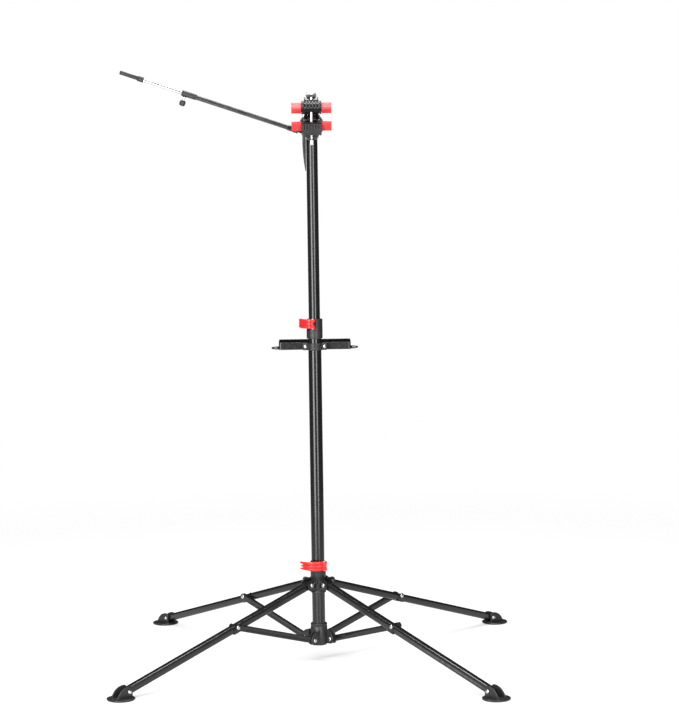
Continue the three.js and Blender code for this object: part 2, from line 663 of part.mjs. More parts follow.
function upperJawGeometry() {
  const { reach, z } = UPPER_SEAT;
  const body = new THREE.Shape();
  body.moveTo(10, -8);
  body.quadraticCurveTo(30, -2, reach - 21, -3);
  body.lineTo(reach - 16, -6);
  body.lineTo(reach - 1, z - 4.4);
  body.lineTo(reach + 1, z - 4.4);
  body.lineTo(reach + 18, -9);
  body.lineTo(reach + 24, -5);
  body.quadraticCurveTo(reach + 23, 14, reach + 3, 16.5);
  body.quadraticCurveTo(80, 19, 66, 19.5);
  body.lineTo(45, 19.5);
  body.quadraticCurveTo(20, 17, 4, 8);
  body.absarc(0, 0, 9, Math.PI * 0.35, Math.PI * 1.7, false);
  const boss = sidePlate(outline([[43, 10], [67, 10], [67.2, 27.4], [45.5, 31.2], [43, 22]]), -19, 19);
  const wings = sidePlate(veeBand(WING.arm, WING.thick), -WING.end, WING.end);
  wings.rotateX(Math.PI).translate(0, -reach, z);
  const rootSlot = block(-10.2, 10.2, -34, 12, -20, 40);
  const rootSides = [
    block(19, 40, -34, 12, -20, 40), block(-40, -19, -34, 12, -20, 40),
  ];
  const pivotHole = alongX(disc(PIN_BORE, -40, 40, 12));
  const rodHole = disc(QR_BORE, -60, 60, 12).rotateX(JAW_OPEN * DEG);
  const [qrY, qrZ] = qrInJaw();
  return shaped(sidePlate(body, -JAW_HALF, JAW_HALF), {
    add: [boss, wings],
    cut: [rootSlot, ...rootSides, pivotHole, rodHole.translate(0, qrY, qrZ)],
  });
}

// The quick-release rod's place in the upper jaw's frame.
function qrInJaw() {
  const spot = new THREE.Vector3(0, JAW_PIVOT.reach - QR_REACH, CAM.z - 20 - JAW_PIVOT.z);
  spot.applyAxisAngle(new THREE.Vector3(1, 0, 0), JAW_OPEN * DEG);
  return [spot.y, spot.z];
}

function qrLeverGeometry() {
  const { z, radius, half } = CAM;
  const cam = alongX(disc(radius, -half, half, 20)).translate(0, -QR_REACH, z);
  const arm = new THREE.Shape();
  arm.moveTo(QR_REACH - 4, z + 8);
  arm.quadraticCurveTo(148, z + 6, 121, 49);
  arm.lineTo(125, 45.5);
  arm.quadraticCurveTo(154, z - 7, QR_REACH - 4, z - 7);
  const strap = sidePlate(arm, -7, 7);
  const eyeSlot = alongX(disc(radius + 3, -4.8, 4.8, 20)).translate(0, -QR_REACH, z);
  const pinHole = alongX(disc(PIN_RADIUS + BORE_GAP, -20, 20, 12)).translate(0, -QR_REACH, z);
  return shaped(cam, { add: [strap], cut: [eyeSlot, pinHole] });
}

function qrRodGeometry() {
  const shank = turned([
    [0, -49], [5, -49], [6, -47.5], [6, -36], [4.2, -36], [4.2, CAM.z], [0, CAM.z],
  ], 12);
  const eye = alongX(disc(6, -4.4, 4.4, 12)).translate(0, 0, CAM.z);
  const pin = alongX(disc(PIN_RADIUS, -CAM.half - 1, CAM.half + 1, SMALL_SIDES));
  return shaped(shank, { add: [eye, pin.translate(0, 0, CAM.z)] });
}

function crossPin(halfLength, headRadius, shank) {
  return alongX(turned([
    [0, -halfLength - 4], [headRadius * 0.7, -halfLength - 4], [headRadius, -halfLength - 2],
    [headRadius, -halfLength], [shank, -halfLength], [shank, halfLength],
    [headRadius, halfLength], [headRadius, halfLength + 4], [0, halfLength + 4],
  ], 12));
}

function addHead() {
  const head = subgroup(stand, [0, 0, AXIS_Z]);
  const { reach, z } = JAW_PIVOT;
  const jaw = subgroup(head, [0, -reach, z], [-JAW_OPEN * DEG, 0, 0]);
  const shaft = alongY(ring(SHAFT.outer, SHAFT.inner, SHAFT.front, SHAFT.back));
  node(head, 'crossbar_tube', crossbarGeometry(), powderBlack());
  node(head, 'fixed_disc', fixedDiscGeometry(), castBlack());
  node(head, 'turning_disc', turningDiscGeometry(), castBlack());
  node(head, 'head_shaft', shaft, powderBlack());
  node(head, 'lock_handle', lockHandleGeometry(), castBlack());
  node(head, 'head_block', headBlockGeometry(), castBlack());
  node(head, 'block_bolt', crossPin(14.5 + GAP, 5, RIVET_RADIUS), chrome(), { at: [0, -163, -28.5] });
  node(head, 'lower_jaw', lowerJawGeometry(), castBlack());
  node(jaw, 'upper_jaw', upperJawGeometry(), castBlack());
  node(head, 'jaw_pivot_bolt', crossPin(19 + GAP, 6, RIVET_RADIUS), chrome(), { at: [0, -reach, z] });
  for (const [side, name] of [[-1, 'left'], [1, 'right']]) {
    const lower = padGeometry(side);
    const upper = padGeometry(side).rotateX(Math.PI);
    node(head, `lower_pad_${name}`, lower, redRubber(), { at: [0, -SEAT_REACH, SEAT_CORNER_Z] });
    node(jaw, `upper_pad_${name}`, upper, redRubber(), { at: [0, -UPPER_SEAT.reach, UPPER_SEAT.z] });
  }
  node(head, 'qr_lever', qrLeverGeometry(), chrome());
  node(head, 'qr_rod', qrRodGeometry(), chrome(), { at: [0, -QR_REACH, 0] });
}

// ---------------------------------------------------------------- handlebar rod
// Its frame has the rod's line on X, and the head's axis passes at x = 0, z = -ROD_DROP.
function rodRingGeometry() {
  const bore = SHAFT.outer + 0.4;
  const body = alongY(ring(bore + 4, bore, -6.5, 6.5)).translate(0, 0, -ROD_DROP);
  const lug = block(-6, 25, -4, 4, -9.5, 4);
  const neck = block(16, ROD.pin, -4, 4, -4, 4);
  const eye = disc(8, -4, 4, 16).translate(ROD.pin, 0, 0);
  const hole = disc(PIN_BORE, -20, 20, 12).translate(ROD.pin, 0, 0);
  return shaped(body, { add: [lug, neck, eye], cut: [hole] });
}

function rodTubeGeometry() {
  const start = ROD.pin + 12;
  const body = alongX(turned([
    [ROD.inner, start + 6], [ROD.outer, start + 6], [ROD.outer, ROD.end - 40],
    [ROD.collar, ROD.end - 39], [ROD.collar, ROD.end], [ROD.inner, ROD.end],
    [ROD.inner, start + 6],
  ], 16));
  const socket = alongX(disc(7, start - 2, start + 8, 16));
  const cheek = stadium(start - ROD.pin, 13);
  const cheeks = [[4.5, 7], [-7, -4.5]].map(([low, high]) => {
    return plate(cheek, low, high).translate(ROD.pin, 0, 0);
  });
  const pin = turned([[0, -8.5], [5, -8.5], [5, -6.9], [3, -6.9], [3, 6.9], [5, 6.9], [5, 8.5], [0, 8.5]],
    SMALL_SIDES).translate(ROD.pin, 0, 0);
  return shaped(body, { add: [socket, ...cheeks, pin] });
}

function rodKnobGeometry() {
  return turned([
    [0, ROD.collar + GAP], [4, ROD.collar + GAP], [4, 13], [2.2, 14], [2.2, 18], [6, 18.5],
    [8, 22], [8, 28], [6, 32], [0, 33],
  ], 14).translate(KNOB_AT, 0, 0);
}

function rodHookGeometry() {
  const socket = alongX(turned([
    [ROD.core + GAP, 0], [7, 0], [7, 16], [0, 16], [0, 12], [ROD.core + GAP, 12],
    [ROD.core + GAP, 0],
  ], 14)).translate(HOOK_AT, 0, 0);
  const loop = new THREE.Shape();
  loop.moveTo(HOOK_AT + 12, -7);
  loop.lineTo(HOOK_AT + 26, -13.5);
  loop.lineTo(HOOK_AT + 53, -13.5);
  loop.quadraticCurveTo(HOOK_AT + 65, -12, HOOK_AT + 65, 0);
  loop.quadraticCurveTo(HOOK_AT + 65, 12, HOOK_AT + 55, 13.5);
  loop.lineTo(HOOK_AT + 46, 12);
  loop.lineTo(HOOK_AT + 47, 6);
  loop.quadraticCurveTo(HOOK_AT + 57, 6, HOOK_AT + 57, 0);
  loop.quadraticCurveTo(HOOK_AT + 57, -6, HOOK_AT + 50, -6.5);
  loop.lineTo(HOOK_AT + 29, -6.5);
  loop.lineTo(HOOK_AT + 25, -3);
  loop.lineTo(HOOK_AT + 25, 4);
  loop.lineTo(HOOK_AT + 34, 7);
  loop.lineTo(HOOK_AT + 34, 13);
  loop.lineTo(HOOK_AT + 26, 13.5);
  loop.lineTo(HOOK_AT + 12, 7);
  return shaped(socket, { add: [plate(loop, -5, 5)] });
}

function addRod() {
  const rise = ROD_RISE * DEG;
  const at = [-ROD_DROP * Math.sin(rise), RING_Y, AXIS_Z - ROD_DROP * Math.cos(rise)];
  const rod = subgroup(stand, at, [0, Math.PI + rise, 0]);
  const core = alongX(disc(ROD.core, 200, HOOK_AT + 11.6, 12));
  node(rod, 'rod_ring', rodRingGeometry(), castBlack());
  node(rod, 'rod_tube', rodTubeGeometry(), powderBlack());
  node(rod, 'rod_core', core, chrome());
  node(rod, 'rod_knob', rodKnobGeometry(), lightGrip());
  node(rod, 'rod_hook', rodHookGeometry(), lightGrip());
}

// ---------------------------------------------------------------- assembly
LEGS.forEach(addLeg);
addMast();
addHead();
addRod();

export default stand;
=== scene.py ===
# Bike repair stand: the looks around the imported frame. Lengths in the helpers are millimetres.
import math

import bmesh
import bpy
from mathutils import Matrix, Vector


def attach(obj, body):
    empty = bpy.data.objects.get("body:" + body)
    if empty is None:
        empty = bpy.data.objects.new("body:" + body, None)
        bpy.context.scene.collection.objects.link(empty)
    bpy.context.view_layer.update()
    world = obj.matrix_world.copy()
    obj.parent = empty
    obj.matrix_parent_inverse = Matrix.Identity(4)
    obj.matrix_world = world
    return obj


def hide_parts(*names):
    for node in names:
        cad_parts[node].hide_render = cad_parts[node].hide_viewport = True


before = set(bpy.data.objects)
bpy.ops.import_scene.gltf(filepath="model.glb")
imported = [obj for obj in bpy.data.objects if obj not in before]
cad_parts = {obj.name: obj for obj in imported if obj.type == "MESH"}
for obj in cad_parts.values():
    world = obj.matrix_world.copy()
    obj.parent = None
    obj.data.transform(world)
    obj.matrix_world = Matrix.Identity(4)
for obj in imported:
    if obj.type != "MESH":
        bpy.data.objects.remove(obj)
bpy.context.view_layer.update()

PI = math.pi
RAD = math.radians
# Azimuths of the legs in degrees, and the height of the head's axis
LEGS = {"front_left": 221.3, "front_right": 311.3, "rear_right": 41.3, "rear_left": 131.3}
AXIS_Z = 1447.0


# -------- camera, floor and lights
def put_in_scene(thing):
    bpy.context.scene.collection.objects.link(thing)


def make_camera():
    yaw, pitch, roll = 0.0094, 0.1018, -0.014
    forward = Vector((math.sin(yaw) * math.cos(pitch), math.cos(yaw) * math.cos(pitch), -math.sin(pitch)))
    right = Vector((math.cos(yaw), -math.sin(yaw), 0.0))
    up = right.cross(forward)
    x = math.cos(roll) * right + math.sin(roll) * up
    y = -math.sin(roll) * right + math.cos(roll) * up
    turn = Matrix((x, y, -forward)).transposed().to_4x4()
    data = bpy.data.cameras.new("camera")
    data.sensor_fit = "HORIZONTAL"
    data.sensor_width = 36.0
    data.lens = 139.3343
    data.clip_end = 400.0
    camera = bpy.data.objects.new("camera", data)
    camera.matrix_world = Matrix.Translation((0.0, -7.03, 1.549)) @ turn
    put_in_scene(camera)
    bpy.context.scene.camera = camera


def add_light(name, place, aim, size, power):
    data = bpy.data.lights.new(name, "AREA")
    data.shape = "RECTANGLE"
    data.size, data.size_y = size
    data.energy = power
    lamp = bpy.data.objects.new(name, data)
    lamp.location = place
    lamp.rotation_euler = (Vector(aim) - Vector(place)).to_track_quat("-Z", "Y").to_euler()
    put_in_scene(lamp)


def map_range(tree, value, low, high, to_low, to_high):
    node = tree.nodes.new("ShaderNodeMapRange")
    settings = {"Value": value, "From Min": low, "From Max": high, "To Min": to_low, "To Max": to_high}
    for key, number in settings.items():
        if isinstance(number, bpy.types.NodeSocket):
            tree.links.new(number, node.inputs[key])
        else:
            node.inputs[key].default_value = number
    return node.outputs["Result"]


def make_stage():
    data = bpy.data.meshes.new("floor")
    data.from_pydata([(-90, -20, 0), (90, -20, 0), (90, 160, 0), (-90, 160, 0)], [], [(0, 1, 2, 3)])
    floor = bpy.data.objects.new("floor", data)
    floor.location.z = -0.0004
    put_in_scene(floor)
    material = bpy.data.materials.new("pale_floor")
    material.use_nodes = True
    shader = material.node_tree.nodes["Principled BSDF"]
    shader.inputs["Base Color"].default_value = (0.9, 0.9, 0.905, 1.0)
    shader.inputs["Roughness"].default_value = 0.3
    shader.inputs["Specular IOR Level"].default_value = 0.4
    tree = material.node_tree
    glow = tree.nodes.new("ShaderNodeEmission")
    seen = tree.nodes.new("ShaderNodeLightPath").outputs["Is Camera Ray"]
    tree.links.new(map_range(tree, seen, 0.0, 1.0, 0.08, 1.0), glow.inputs["Strength"])
    blend = tree.nodes.new("ShaderNodeMixShader")
    length = tree.nodes.new("ShaderNodeVectorMath")
    length.operation = "LENGTH"
    tree.links.new(tree.nodes.new("ShaderNodeTexCoord").outputs["Object"], length.inputs[0])
    fade = map_range(tree, length.outputs["Value"], 1.1, 3.2, 0.42, 1.0)
    fade.node.interpolation_type = "SMOOTHSTEP"
    tree.links.new(fade, blend.inputs["Fac"])
    tree.links.new(shader.outputs["BSDF"], blend.inputs[1])
    tree.links.new(glow.outputs["Emission"], blend.inputs[2])
    tree.links.new(blend.outputs["Shader"], tree.nodes["Material Output"].inputs["Surface"])
    data.materials.append(material)
    world = bpy.data.worlds.new("studio")
    world.use_nodes = True
    sky = world.node_tree.nodes["Background"]
    sky.inputs["Color"].default_value = (1.0, 1.0, 1.0, 1.0)
    tree = world.node_tree
    rays = tree.nodes.new("ShaderNodeLightPath")
    parts = tree.nodes.new("ShaderNodeSeparateXYZ")
    tree.links.new(tree.nodes.new("ShaderNodeTexCoord").outputs["Generated"], parts.inputs[0])
    gloss = map_range(tree, parts.outputs["Y"], -1.0, 0.2, 0.3, 0.025)
    shaded = map_range(tree, rays.outputs["Is Glossy Ray"], 0.0, 1.0, 0.45, gloss)
    level = map_range(tree, rays.outputs["Is Camera Ray"], 0.0, 1.0, shaded, 1.0)
    tree.links.new(level, sky.inputs["Strength"])
    bpy.context.scene.world = world
    sun_data = bpy.data.lights.new("soft_sun", "SUN")
    sun_data.energy = 2.0
    sun_data.angle = RAD(50)
    sun = bpy.data.objects.new("soft_sun", sun_data)
    sun.rotation_euler = (RAD(32), RAD(-24), 0)
    put_in_scene(sun)
    add_light("key", (-1.15, -1.8, 1.36), (0, 0, 1.3), (0.9, 2.7), 62)
    add_light("fill", (0.9, -1.95, 1.36), (0, 0, 1.3), (0.6, 2.7), 36)
    add_light("top", (0.0, 0.6, 3.2), (0, 0, 0), (2.6, 0.7), 75)
    bpy.context.scene.view_settings.view_transform = "Standard"


make_camera()
make_stage()


# -------- materials
class Graph:
    def __init__(self, name):
        self.material = bpy.data.materials.new(name)
        self.material.use_nodes = True
        self.tree = self.material.node_tree
        self.shader = self.tree.nodes["Principled BSDF"]
        self.coords = self.tree.nodes.new("ShaderNodeTexCoord").outputs["Object"]

    def node(self, kind, **inputs):
        node = self.tree.nodes.new(kind)
        for key, value in inputs.items():
            socket = node.inputs[key.replace("_", " ")]
            if isinstance(value, bpy.types.NodeSocket):
                self.tree.links.new(value, socket)
            else:
                socket.default_value = value
        return node

    def link(self, source, target):
        self.tree.links.new(source, target)

    def noise(self, scale, detail=4.0, rough=0.55, stretch=None):
        vector = self.coords
        if stretch:
            vector = self.node("ShaderNodeMapping", Vector=vector, Scale=stretch).outputs[0]
        return self.node("ShaderNodeTexNoise", Vector=vector, Scale=scale, Detail=detail,
                         Roughness=rough).outputs["Fac"]

    def remap(self, value, low, high, to_low, to_high):
        return map_range(self.tree, value, low, high, to_low, to_high)

    def mix(self, factor, first, second):
        node = self.tree.nodes.new("ShaderNodeMix")
        node.data_type = "RGBA"
        self.link(factor, node.inputs["Factor"])
        for socket, value in ((node.inputs["A"], first), (node.inputs["B"], second)):
            if isinstance(value, bpy.types.NodeSocket):
                self.link(value, socket)
            else:
                socket.default_value = (*value, 1.0)
        return node.outputs["Result"]

    def multiply(self, first, second):
        node = self.tree.nodes.new("ShaderNodeMath")
        node.operation = "MULTIPLY"
        self.link(first, node.inputs[0])
        self.link(second, node.inputs[1])
        return node.outputs[0]

    def edges(self):
        point = self.tree.nodes.new("ShaderNodeNewGeometry").outputs["Pointiness"]
        return self.remap(point, 0.57, 0.66, 0.0, 1.0)

    def bump(self, height, strength, distance):
        node = self.node("ShaderNodeBump", Height=height, Strength=strength, Distance=distance)
        self.link(node.outputs["Normal"], self.shader.inputs["Normal"])

    def fixed(self, **values):
        for key, value in values.items():
            self.shader.inputs[key.replace("_", " ")].default_value = value


def coated(name, dark, pale, rough, grain, depth, edge_wear_and_highlight):
    graph = Graph(name)
    cloud = graph.remap(graph.noise(14.0), 0.3, 0.7, 0.0, 1.0)
    body = graph.mix(cloud, dark, pale)
    # Edges found by pointiness are mixed towards a lighter tone: partly rubbed wear, partly a painted
    # highlight along the edges
    edge_wear_and_highlight_mask = graph.multiply(graph.edges(), graph.remap(graph.noise(90.0), 0.35, 0.7, 0.15, 0.5))
    graph.link(graph.mix(edge_wear_and_highlight_mask, body, edge_wear_and_highlight), graph.shader.inputs["Base Color"])
    spots = graph.remap(graph.noise(60.0), 0.3, 0.75, rough - 0.008, rough + 0.012)
    graph.link(spots, graph.shader.inputs["Roughness"])
    graph.bump(graph.noise(grain, 2.0, 0.5), 0.35, depth)
    return graph


# name: dark and pale tone, roughness, grain scale, grain depth in metres, tone of the lighter edges (partly
# rubbed wear, partly painted highlight)
COATS = {
    "powder": ("powder_coat", (0.006, 0.006, 0.0065), (0.0075, 0.0075, 0.008), 0.2, 1100.0, 0.00005,
               (0.15, 0.15, 0.155)),
    "cast": ("textured_cast", (0.012, 0.012, 0.0125), (0.015, 0.015, 0.0155), 0.4, 900.0, 0.00016,
             (0.15, 0.15, 0.155)),
    "plastic": ("black_nylon", (0.017, 0.017, 0.018), (0.021, 0.021, 0.022), 0.42, 1500.0, 0.0001,
                (0.1, 0.1, 0.1)),
    "rubber": ("black_rubber", (0.018, 0.018, 0.018), (0.03, 0.03, 0.03), 0.72, 1800.0, 0.0002,
               (0.06, 0.06, 0.06)),
    "red": ("red_nylon", (0.6, 0.013, 0.013), (0.68, 0.018, 0.017), 0.32, 1300.0, 0.00008, (0.8, 0.1, 0.08)),
    "pad": ("red_rubber", (0.6, 0.02, 0.024), (0.7, 0.032, 0.034), 0.5, 1600.0, 0.0002, (0.86, 0.2, 0.18)),
}


def bare_metal(name, scale, dark, pale):
    graph = Graph(name)
    tone = graph.remap(graph.noise(scale), 0.3, 0.7, 0.0, 1.0)
    graph.link(graph.mix(tone, dark, pale), graph.shader.inputs["Base Color"])
    graph.fixed(Metallic=1.0)
    return graph


def make_materials():
    graphs = {look: coated(*settings) for look, settings in COATS.items()}
    graphs["powder"].fixed(Coat_Weight=0.3, Coat_Roughness=0.14)
    graphs["red"].fixed(Subsurface_Weight=0.06, Subsurface_Scale=0.003)
    steel = graphs["steel"] = bare_metal("bright_steel", 40.0, (0.62, 0.62, 0.64), (0.8, 0.8, 0.82))
    lines = steel.noise(260.0, 3.0, 0.6, (1.0, 1.0, 14.0))
    steel.link(steel.remap(lines, 0.3, 0.7, 0.12, 0.26), steel.shader.inputs["Roughness"])
    steel.bump(lines, 0.12, 0.00005)
    zinc = graphs["zinc"] = bare_metal("zinc_plate", 120.0, (0.66, 0.67, 0.7), (0.82, 0.82, 0.84))
    zinc.link(zinc.remap(zinc.noise(400.0), 0.3, 0.7, 0.2, 0.36), zinc.shader.inputs["Roughness"])
    zinc.bump(zinc.noise(900.0), 0.15, 0.00006)
    return {look: graph.material for look, graph in graphs.items()}


MATS = make_materials()


# -------- outlines
def arc(cx, cy, radius, start, end, steps=12):
    angles = [RAD(start + (end - start) * k / steps) for k in range(steps + 1)]
    return [(cx + radius * math.cos(a), cy + radius * math.sin(a)) for a in angles]


def curve(start, middle, end, steps=10):
    points = []
    for k in range(steps + 1):
        t = k / steps
        points.append(tuple((1 - t) ** 2 * a + 2 * t * (1 - t) * b + t * t * c
                            for a, b, c in zip(start, middle, end)))
    return points


def stadium(x0, x1, height, steps=14):
    r = height / 2
    return arc(x1, 0, r, -90, 90, steps) + arc(x0, 0, r, 90, 270, steps)


def rounded(x0, x1, y0, y1, radius, steps=5):
    return (arc(x1 - radius, y0 + radius, radius, -90, 0, steps)
            + arc(x1 - radius, y1 - radius, radius, 0, 90, steps)
            + arc(x0 + radius, y1 - radius, radius, 90, 180, steps)
            + arc(x0 + radius, y0 + radius, radius, 180, 270, steps))


def star(radius, depth, count, steps=4):
    points = []
    for k in range(count * steps):
        a = 2 * PI * k / (count * steps)
        wave = 0.5 - 0.5 * math.cos(count * a)
        r = radius - depth * wave ** 1.6
        points.append((r * math.cos(a), r * math.sin(a)))
    return points


# -------- solids, as bmesh
def clean(bm):
    bmesh.ops.remove_doubles(bm, verts=bm.verts, dist=1e-4)
    bmesh.ops.recalc_face_normals(bm, faces=bm.faces)
    return bm


def prism(outline, low, high):
    bm = bmesh.new()
    count = len(outline)
    bottom = [bm.verts.new((x, y, low)) for x, y in outline]
    top = [bm.verts.new((x, y, high)) for x, y in outline]
    bm.faces.new(bottom[::-1])
    bm.faces.new(top)
    for k in range(count):
        n = (k + 1) % count
        bm.faces.new((bottom[k], bottom[n], top[n], top[k]))
    return clean(bm)


def lathe(profile, sides=48, loop=False):
    bm = bmesh.new()
    rings = []
    for radius, z in profile:
        if radius < 1e-6:
            rings.append([bm.verts.new((0, 0, z))])
        else:
            rings.append([bm.verts.new((radius * math.cos(2 * PI * k / sides),
                                        radius * math.sin(2 * PI * k / sides), z)) for k in range(sides)])
    pairs = list(zip(rings, rings[1:]))
    if loop:
        pairs.append((rings[-1], rings[0]))
    for a, b in pairs:
        for k in range(sides):
            n = (k + 1) % sides
            corners = [a[k % len(a)], a[n % len(a)], b[n % len(b)], b[k % len(b)]]
            unique = list(dict.fromkeys(corners))
            if len(unique) > 2:
                bm.faces.new(unique)
    return clean(bm)


def barrel(half_profile, sides):
    """A lathe body that is the same on both sides of z = 0, from the lower half of its profile."""
    return lathe(half_profile + [(r, -z) for r, z in reversed(half_profile)], sides)


def pipe(outer, inner, low, high, sides=56, chamfer=0.5):
    c = chamfer
    return lathe([(inner, low), (outer - c, low), (outer, low + c), (outer, high - c), (outer - c, high),
                  (inner, high)], sides, loop=True)


def rod_solid(radius, low, high, sides=32, chamfer=0.4):
    c = chamfer
    return lathe([(0, low), (radius - c, low), (radius, low + c), (radius, high - c), (radius - c, high),
                  (0, high)], sides)


def skin(bm, rings, closed):
    """Faces between rings of points, which run round in a loop or end in two caps."""
    rings = [[bm.verts.new(p) for p in ring] for ring in rings]
    count = len(rings[0])
    for a, b in zip(rings, rings[1:] + rings[:1] if closed else rings[1:]):
        for k in range(count):
            n = (k + 1) % count
            bm.faces.new((a[k], a[n], b[n], b[k]))
    if not closed:
        bm.faces.new(rings[0][::-1])
        bm.faces.new(rings[-1])
    return clean(bm)


def sweep(sections):
    return skin(bmesh.new(), sections, False)


def loop_bead(path, radii, sides=10):
    rings = []
    for i, radius in enumerate(radii):
        along = (Vector(path[(i + 1) % len(path)]) - Vector(path[i - 1])).normalized()
        side = along.cross(Vector((0.13, 0.21, 0.97))).normalized()
        up = side.cross(along)
        turns = [2 * PI * k / sides for k in range(sides)]
        rings.append([Vector(path[i]) + radius * (math.cos(a) * side + math.sin(a) * up) for a in turns])
    return skin(bmesh.new(), rings, True)


def block(x0, x1, y0, y1, z0, z1):
    return prism([(x0, y0), (x1, y0), (x1, y1), (x0, y1)], z0, z1)


def moved(bm, matrix):
    bmesh.ops.transform(bm, matrix=matrix, verts=bm.verts)
    return clean(bm)


def shift(bm, x=0.0, y=0.0, z=0.0):
    return moved(bm, Matrix.Translation((x, y, z)))


def turn(bm, degrees, axis):
    return moved(bm, Matrix.Rotation(RAD(degrees), 4, axis))


def along_y(bm):
    return moved(bm, Matrix(((1, 0, 0), (0, 0, 1), (0, -1, 0))).to_4x4())


def along_x(bm):
    return moved(bm, Matrix(((0, 0, 1), (0, 1, 0), (-1, 0, 0))).to_4x4())


def upright(outline, low, high):
    """A prism along Y, whose outline is given as x and z."""
    return moved(prism(outline, low, high), Matrix(((1, 0, 0), (0, 0, 1), (0, 1, 0))).to_4x4())


def side_on(outline, low, high):
    """A prism along X, whose outline is given as the reach towards -Y and z."""
    return moved(prism(outline, low, high), Matrix(((0, 0, 1), (-1, 0, 0), (0, 1, 0))).to_4x4())


def joined(*parts):
    out = bmesh.new()
    for part in parts:
        data = bpy.data.meshes.new("part")
        part.to_mesh(data)
        out.from_mesh(data)
        bpy.data.meshes.remove(data)
    return out


def as_object(bm):
    data = bpy.data.meshes.new("solid")
    bm.to_mesh(data)
    solid = bpy.data.objects.new("solid", data)
    put_in_scene(solid)
    return solid


def combine(first, others, operation):
    base = as_object(first)
    helpers = []
    for other in others:
        helper = as_object(other)
        modifier = base.modifiers.new("cut", "BOOLEAN")
        modifier.operation = operation
        modifier.solver = "EXACT"
        modifier.object = helper
        helpers.append(helper)
    bpy.context.view_layer.update()
    result = bpy.data.meshes.new_from_object(base.evaluated_get(bpy.context.evaluated_depsgraph_get()))
    out = bmesh.new()
    out.from_mesh(result)
    for extra in [base, *helpers]:
        data = extra.data
        bpy.data.objects.remove(extra)
        bpy.data.meshes.remove(data)
    bpy.data.meshes.remove(result)
    bmesh.ops.remove_doubles(out, verts=out.verts, dist=2e-3)
    bmesh.ops.dissolve_degenerate(out, edges=out.edges, dist=1e-3)
    return out


def cut(first, *others):
    return combine(first, others, "DIFFERENCE")


def union(first, *others):
    return combine(first, others, "UNION")


def within(first, *others):
    return combine(first, others, "INTERSECT")


def softened(bm, width=0.5, segments=2, angle=32.0):
    bmesh.ops.dissolve_limit(bm, angle_limit=RAD(1.0), verts=bm.verts, edges=bm.edges)
    sharp = [e for e in bm.edges if len(e.link_faces) == 2 and e.calc_face_angle(0.0) > RAD(angle)]
    bmesh.ops.bevel(bm, geom=sharp, offset=width, offset_type="OFFSET", segments=segments, profile=0.5,
                    affect="EDGES", clamp_overlap=True)
    return bm


def piece(name, bm, look, body, *nodes, place=None):
    if place is not None:
        bmesh.ops.transform(bm, matrix=place, verts=bm.verts)
    bmesh.ops.scale(bm, vec=(0.001, 0.001, 0.001), verts=bm.verts)
    bmesh.ops.recalc_face_normals(bm, faces=bm.faces)
    data = bpy.data.meshes.new(name)
    bm.to_mesh(data)
    bm.free()
    data.shade_smooth()
    data.set_sharp_from_angle(angle=RAD(38))
    data.materials.append(MATS[look])
    thing = bpy.data.objects.new(name, data)
    put_in_scene(thing)
    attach(thing, body)
    if nodes:
        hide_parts(*nodes)
    return thing


def spot(x=0.0, y=0.0, z=0.0):
    return Matrix.Translation((x, y, z))


def spin(degrees, axis):
    return Matrix.Rotation(RAD(degrees), 4, axis)


# -------- fasteners
def dome(radius, height):
    profile = [(0, 0), (radius, 0), (radius, height * 0.25)]
    for k in range(1, 7):
        a = k / 6 * PI / 2
        profile.append((radius * math.cos(a), height * (0.25 + 0.75 * math.sin(a))))
    profile[-1] = (0, height)
    return lathe(profile, 28)


def rivet(low, high):
    radius, height = 5.5, 2.6
    shank = rod_solid(3.0, low - 0.2, high + 0.2, 20, 0.1)
    bottom = shift(turn(dome(radius, height), 180, "X"), z=low)
    top = shift(dome(radius, height), z=high)
    dimple = lathe([(0, high + height + 1), (1.5, high + height + 1), (1.5, high + height - 0.3),
                    (0, high + height - 1.1)], 16)
    return along_y(joined(cut(top, dimple), shank, bottom))


def hex_outline(across):
    return [(across / math.sqrt(3) * math.cos(RAD(60 * k)), across / math.sqrt(3) * math.sin(RAD(60 * k)))
            for k in range(6)]


def hex_nut(across, thick):
    bm = prism(hex_outline(across), 0, thick)
    cone = lathe([(0, -0.01), (across * 0.5, -0.01), (across * 0.62, 0.9), (across * 0.62, thick - 0.9),
                  (across * 0.5, thick + 0.01), (0, thick + 0.01)], 36)
    return within(bm, cone)


def button_head(radius, height):
    return cut(dome(radius, height), prism(hex_outline(radius * 0.8), height - 1.6, height + 1))


def side_heads(radius, height, bearing, y=0.0, z=0.0):
    return [shift(turn(button_head(radius, height), 90 * side, "Y"), x=bearing * side, y=y, z=z)
            for side in (1, -1)]


def capped_pin(shank, radius, height, bearing):
    top = shift(button_head(radius, height), z=bearing)
    return joined(shank, top, turn(shift(button_head(radius, height), z=bearing), 180, "X"))


# -------- base: legs, braces, feet
PIVOT, HUB_Z, COLLAR_Z, BRACE_S, FOOT_S, FOOT_Z = 34.0, 208.0, 58.0, 299.5, 658.0, 19.0
LEG_PITCH = math.degrees(math.atan2(HUB_Z - FOOT_Z, FOOT_S - PIVOT))
LEG_LENGTH = math.hypot(FOOT_S - PIVOT, HUB_Z - FOOT_Z)
BRACE_PITCH = math.degrees(math.atan2((HUB_Z - COLLAR_Z) / 2, BRACE_S - PIVOT))
BRACE_LENGTH = math.hypot((HUB_Z - COLLAR_Z) / 2, BRACE_S - PIVOT)
BRACE_Z = (HUB_Z + COLLAR_Z) / 2
BRACE_OFFSET = 15.5
LEVER_PIN, LEVER_END, LEVER_SWEEP = 28.4, 47.0, 122.0


def leg_body():
    section = along_x(prism(rounded(-10.25, 10.25, -10, 10, 5.5, 9), -12, LEG_LENGTH + 12))
    bar = softened(within(upright(stadium(0, LEG_LENGTH, 20.5, 16), -10, 10), section), 0.8, 3, 50)
    seam = block(60, LEG_LENGTH - 60, -9.95, -9.6, -0.35, 0.35)
    crimp = [upright(stadium(18, 52, 5, 8), side * 9.4, side * 11) for side in (1, -1)]
    return joined(cut(bar, *crimp), seam)


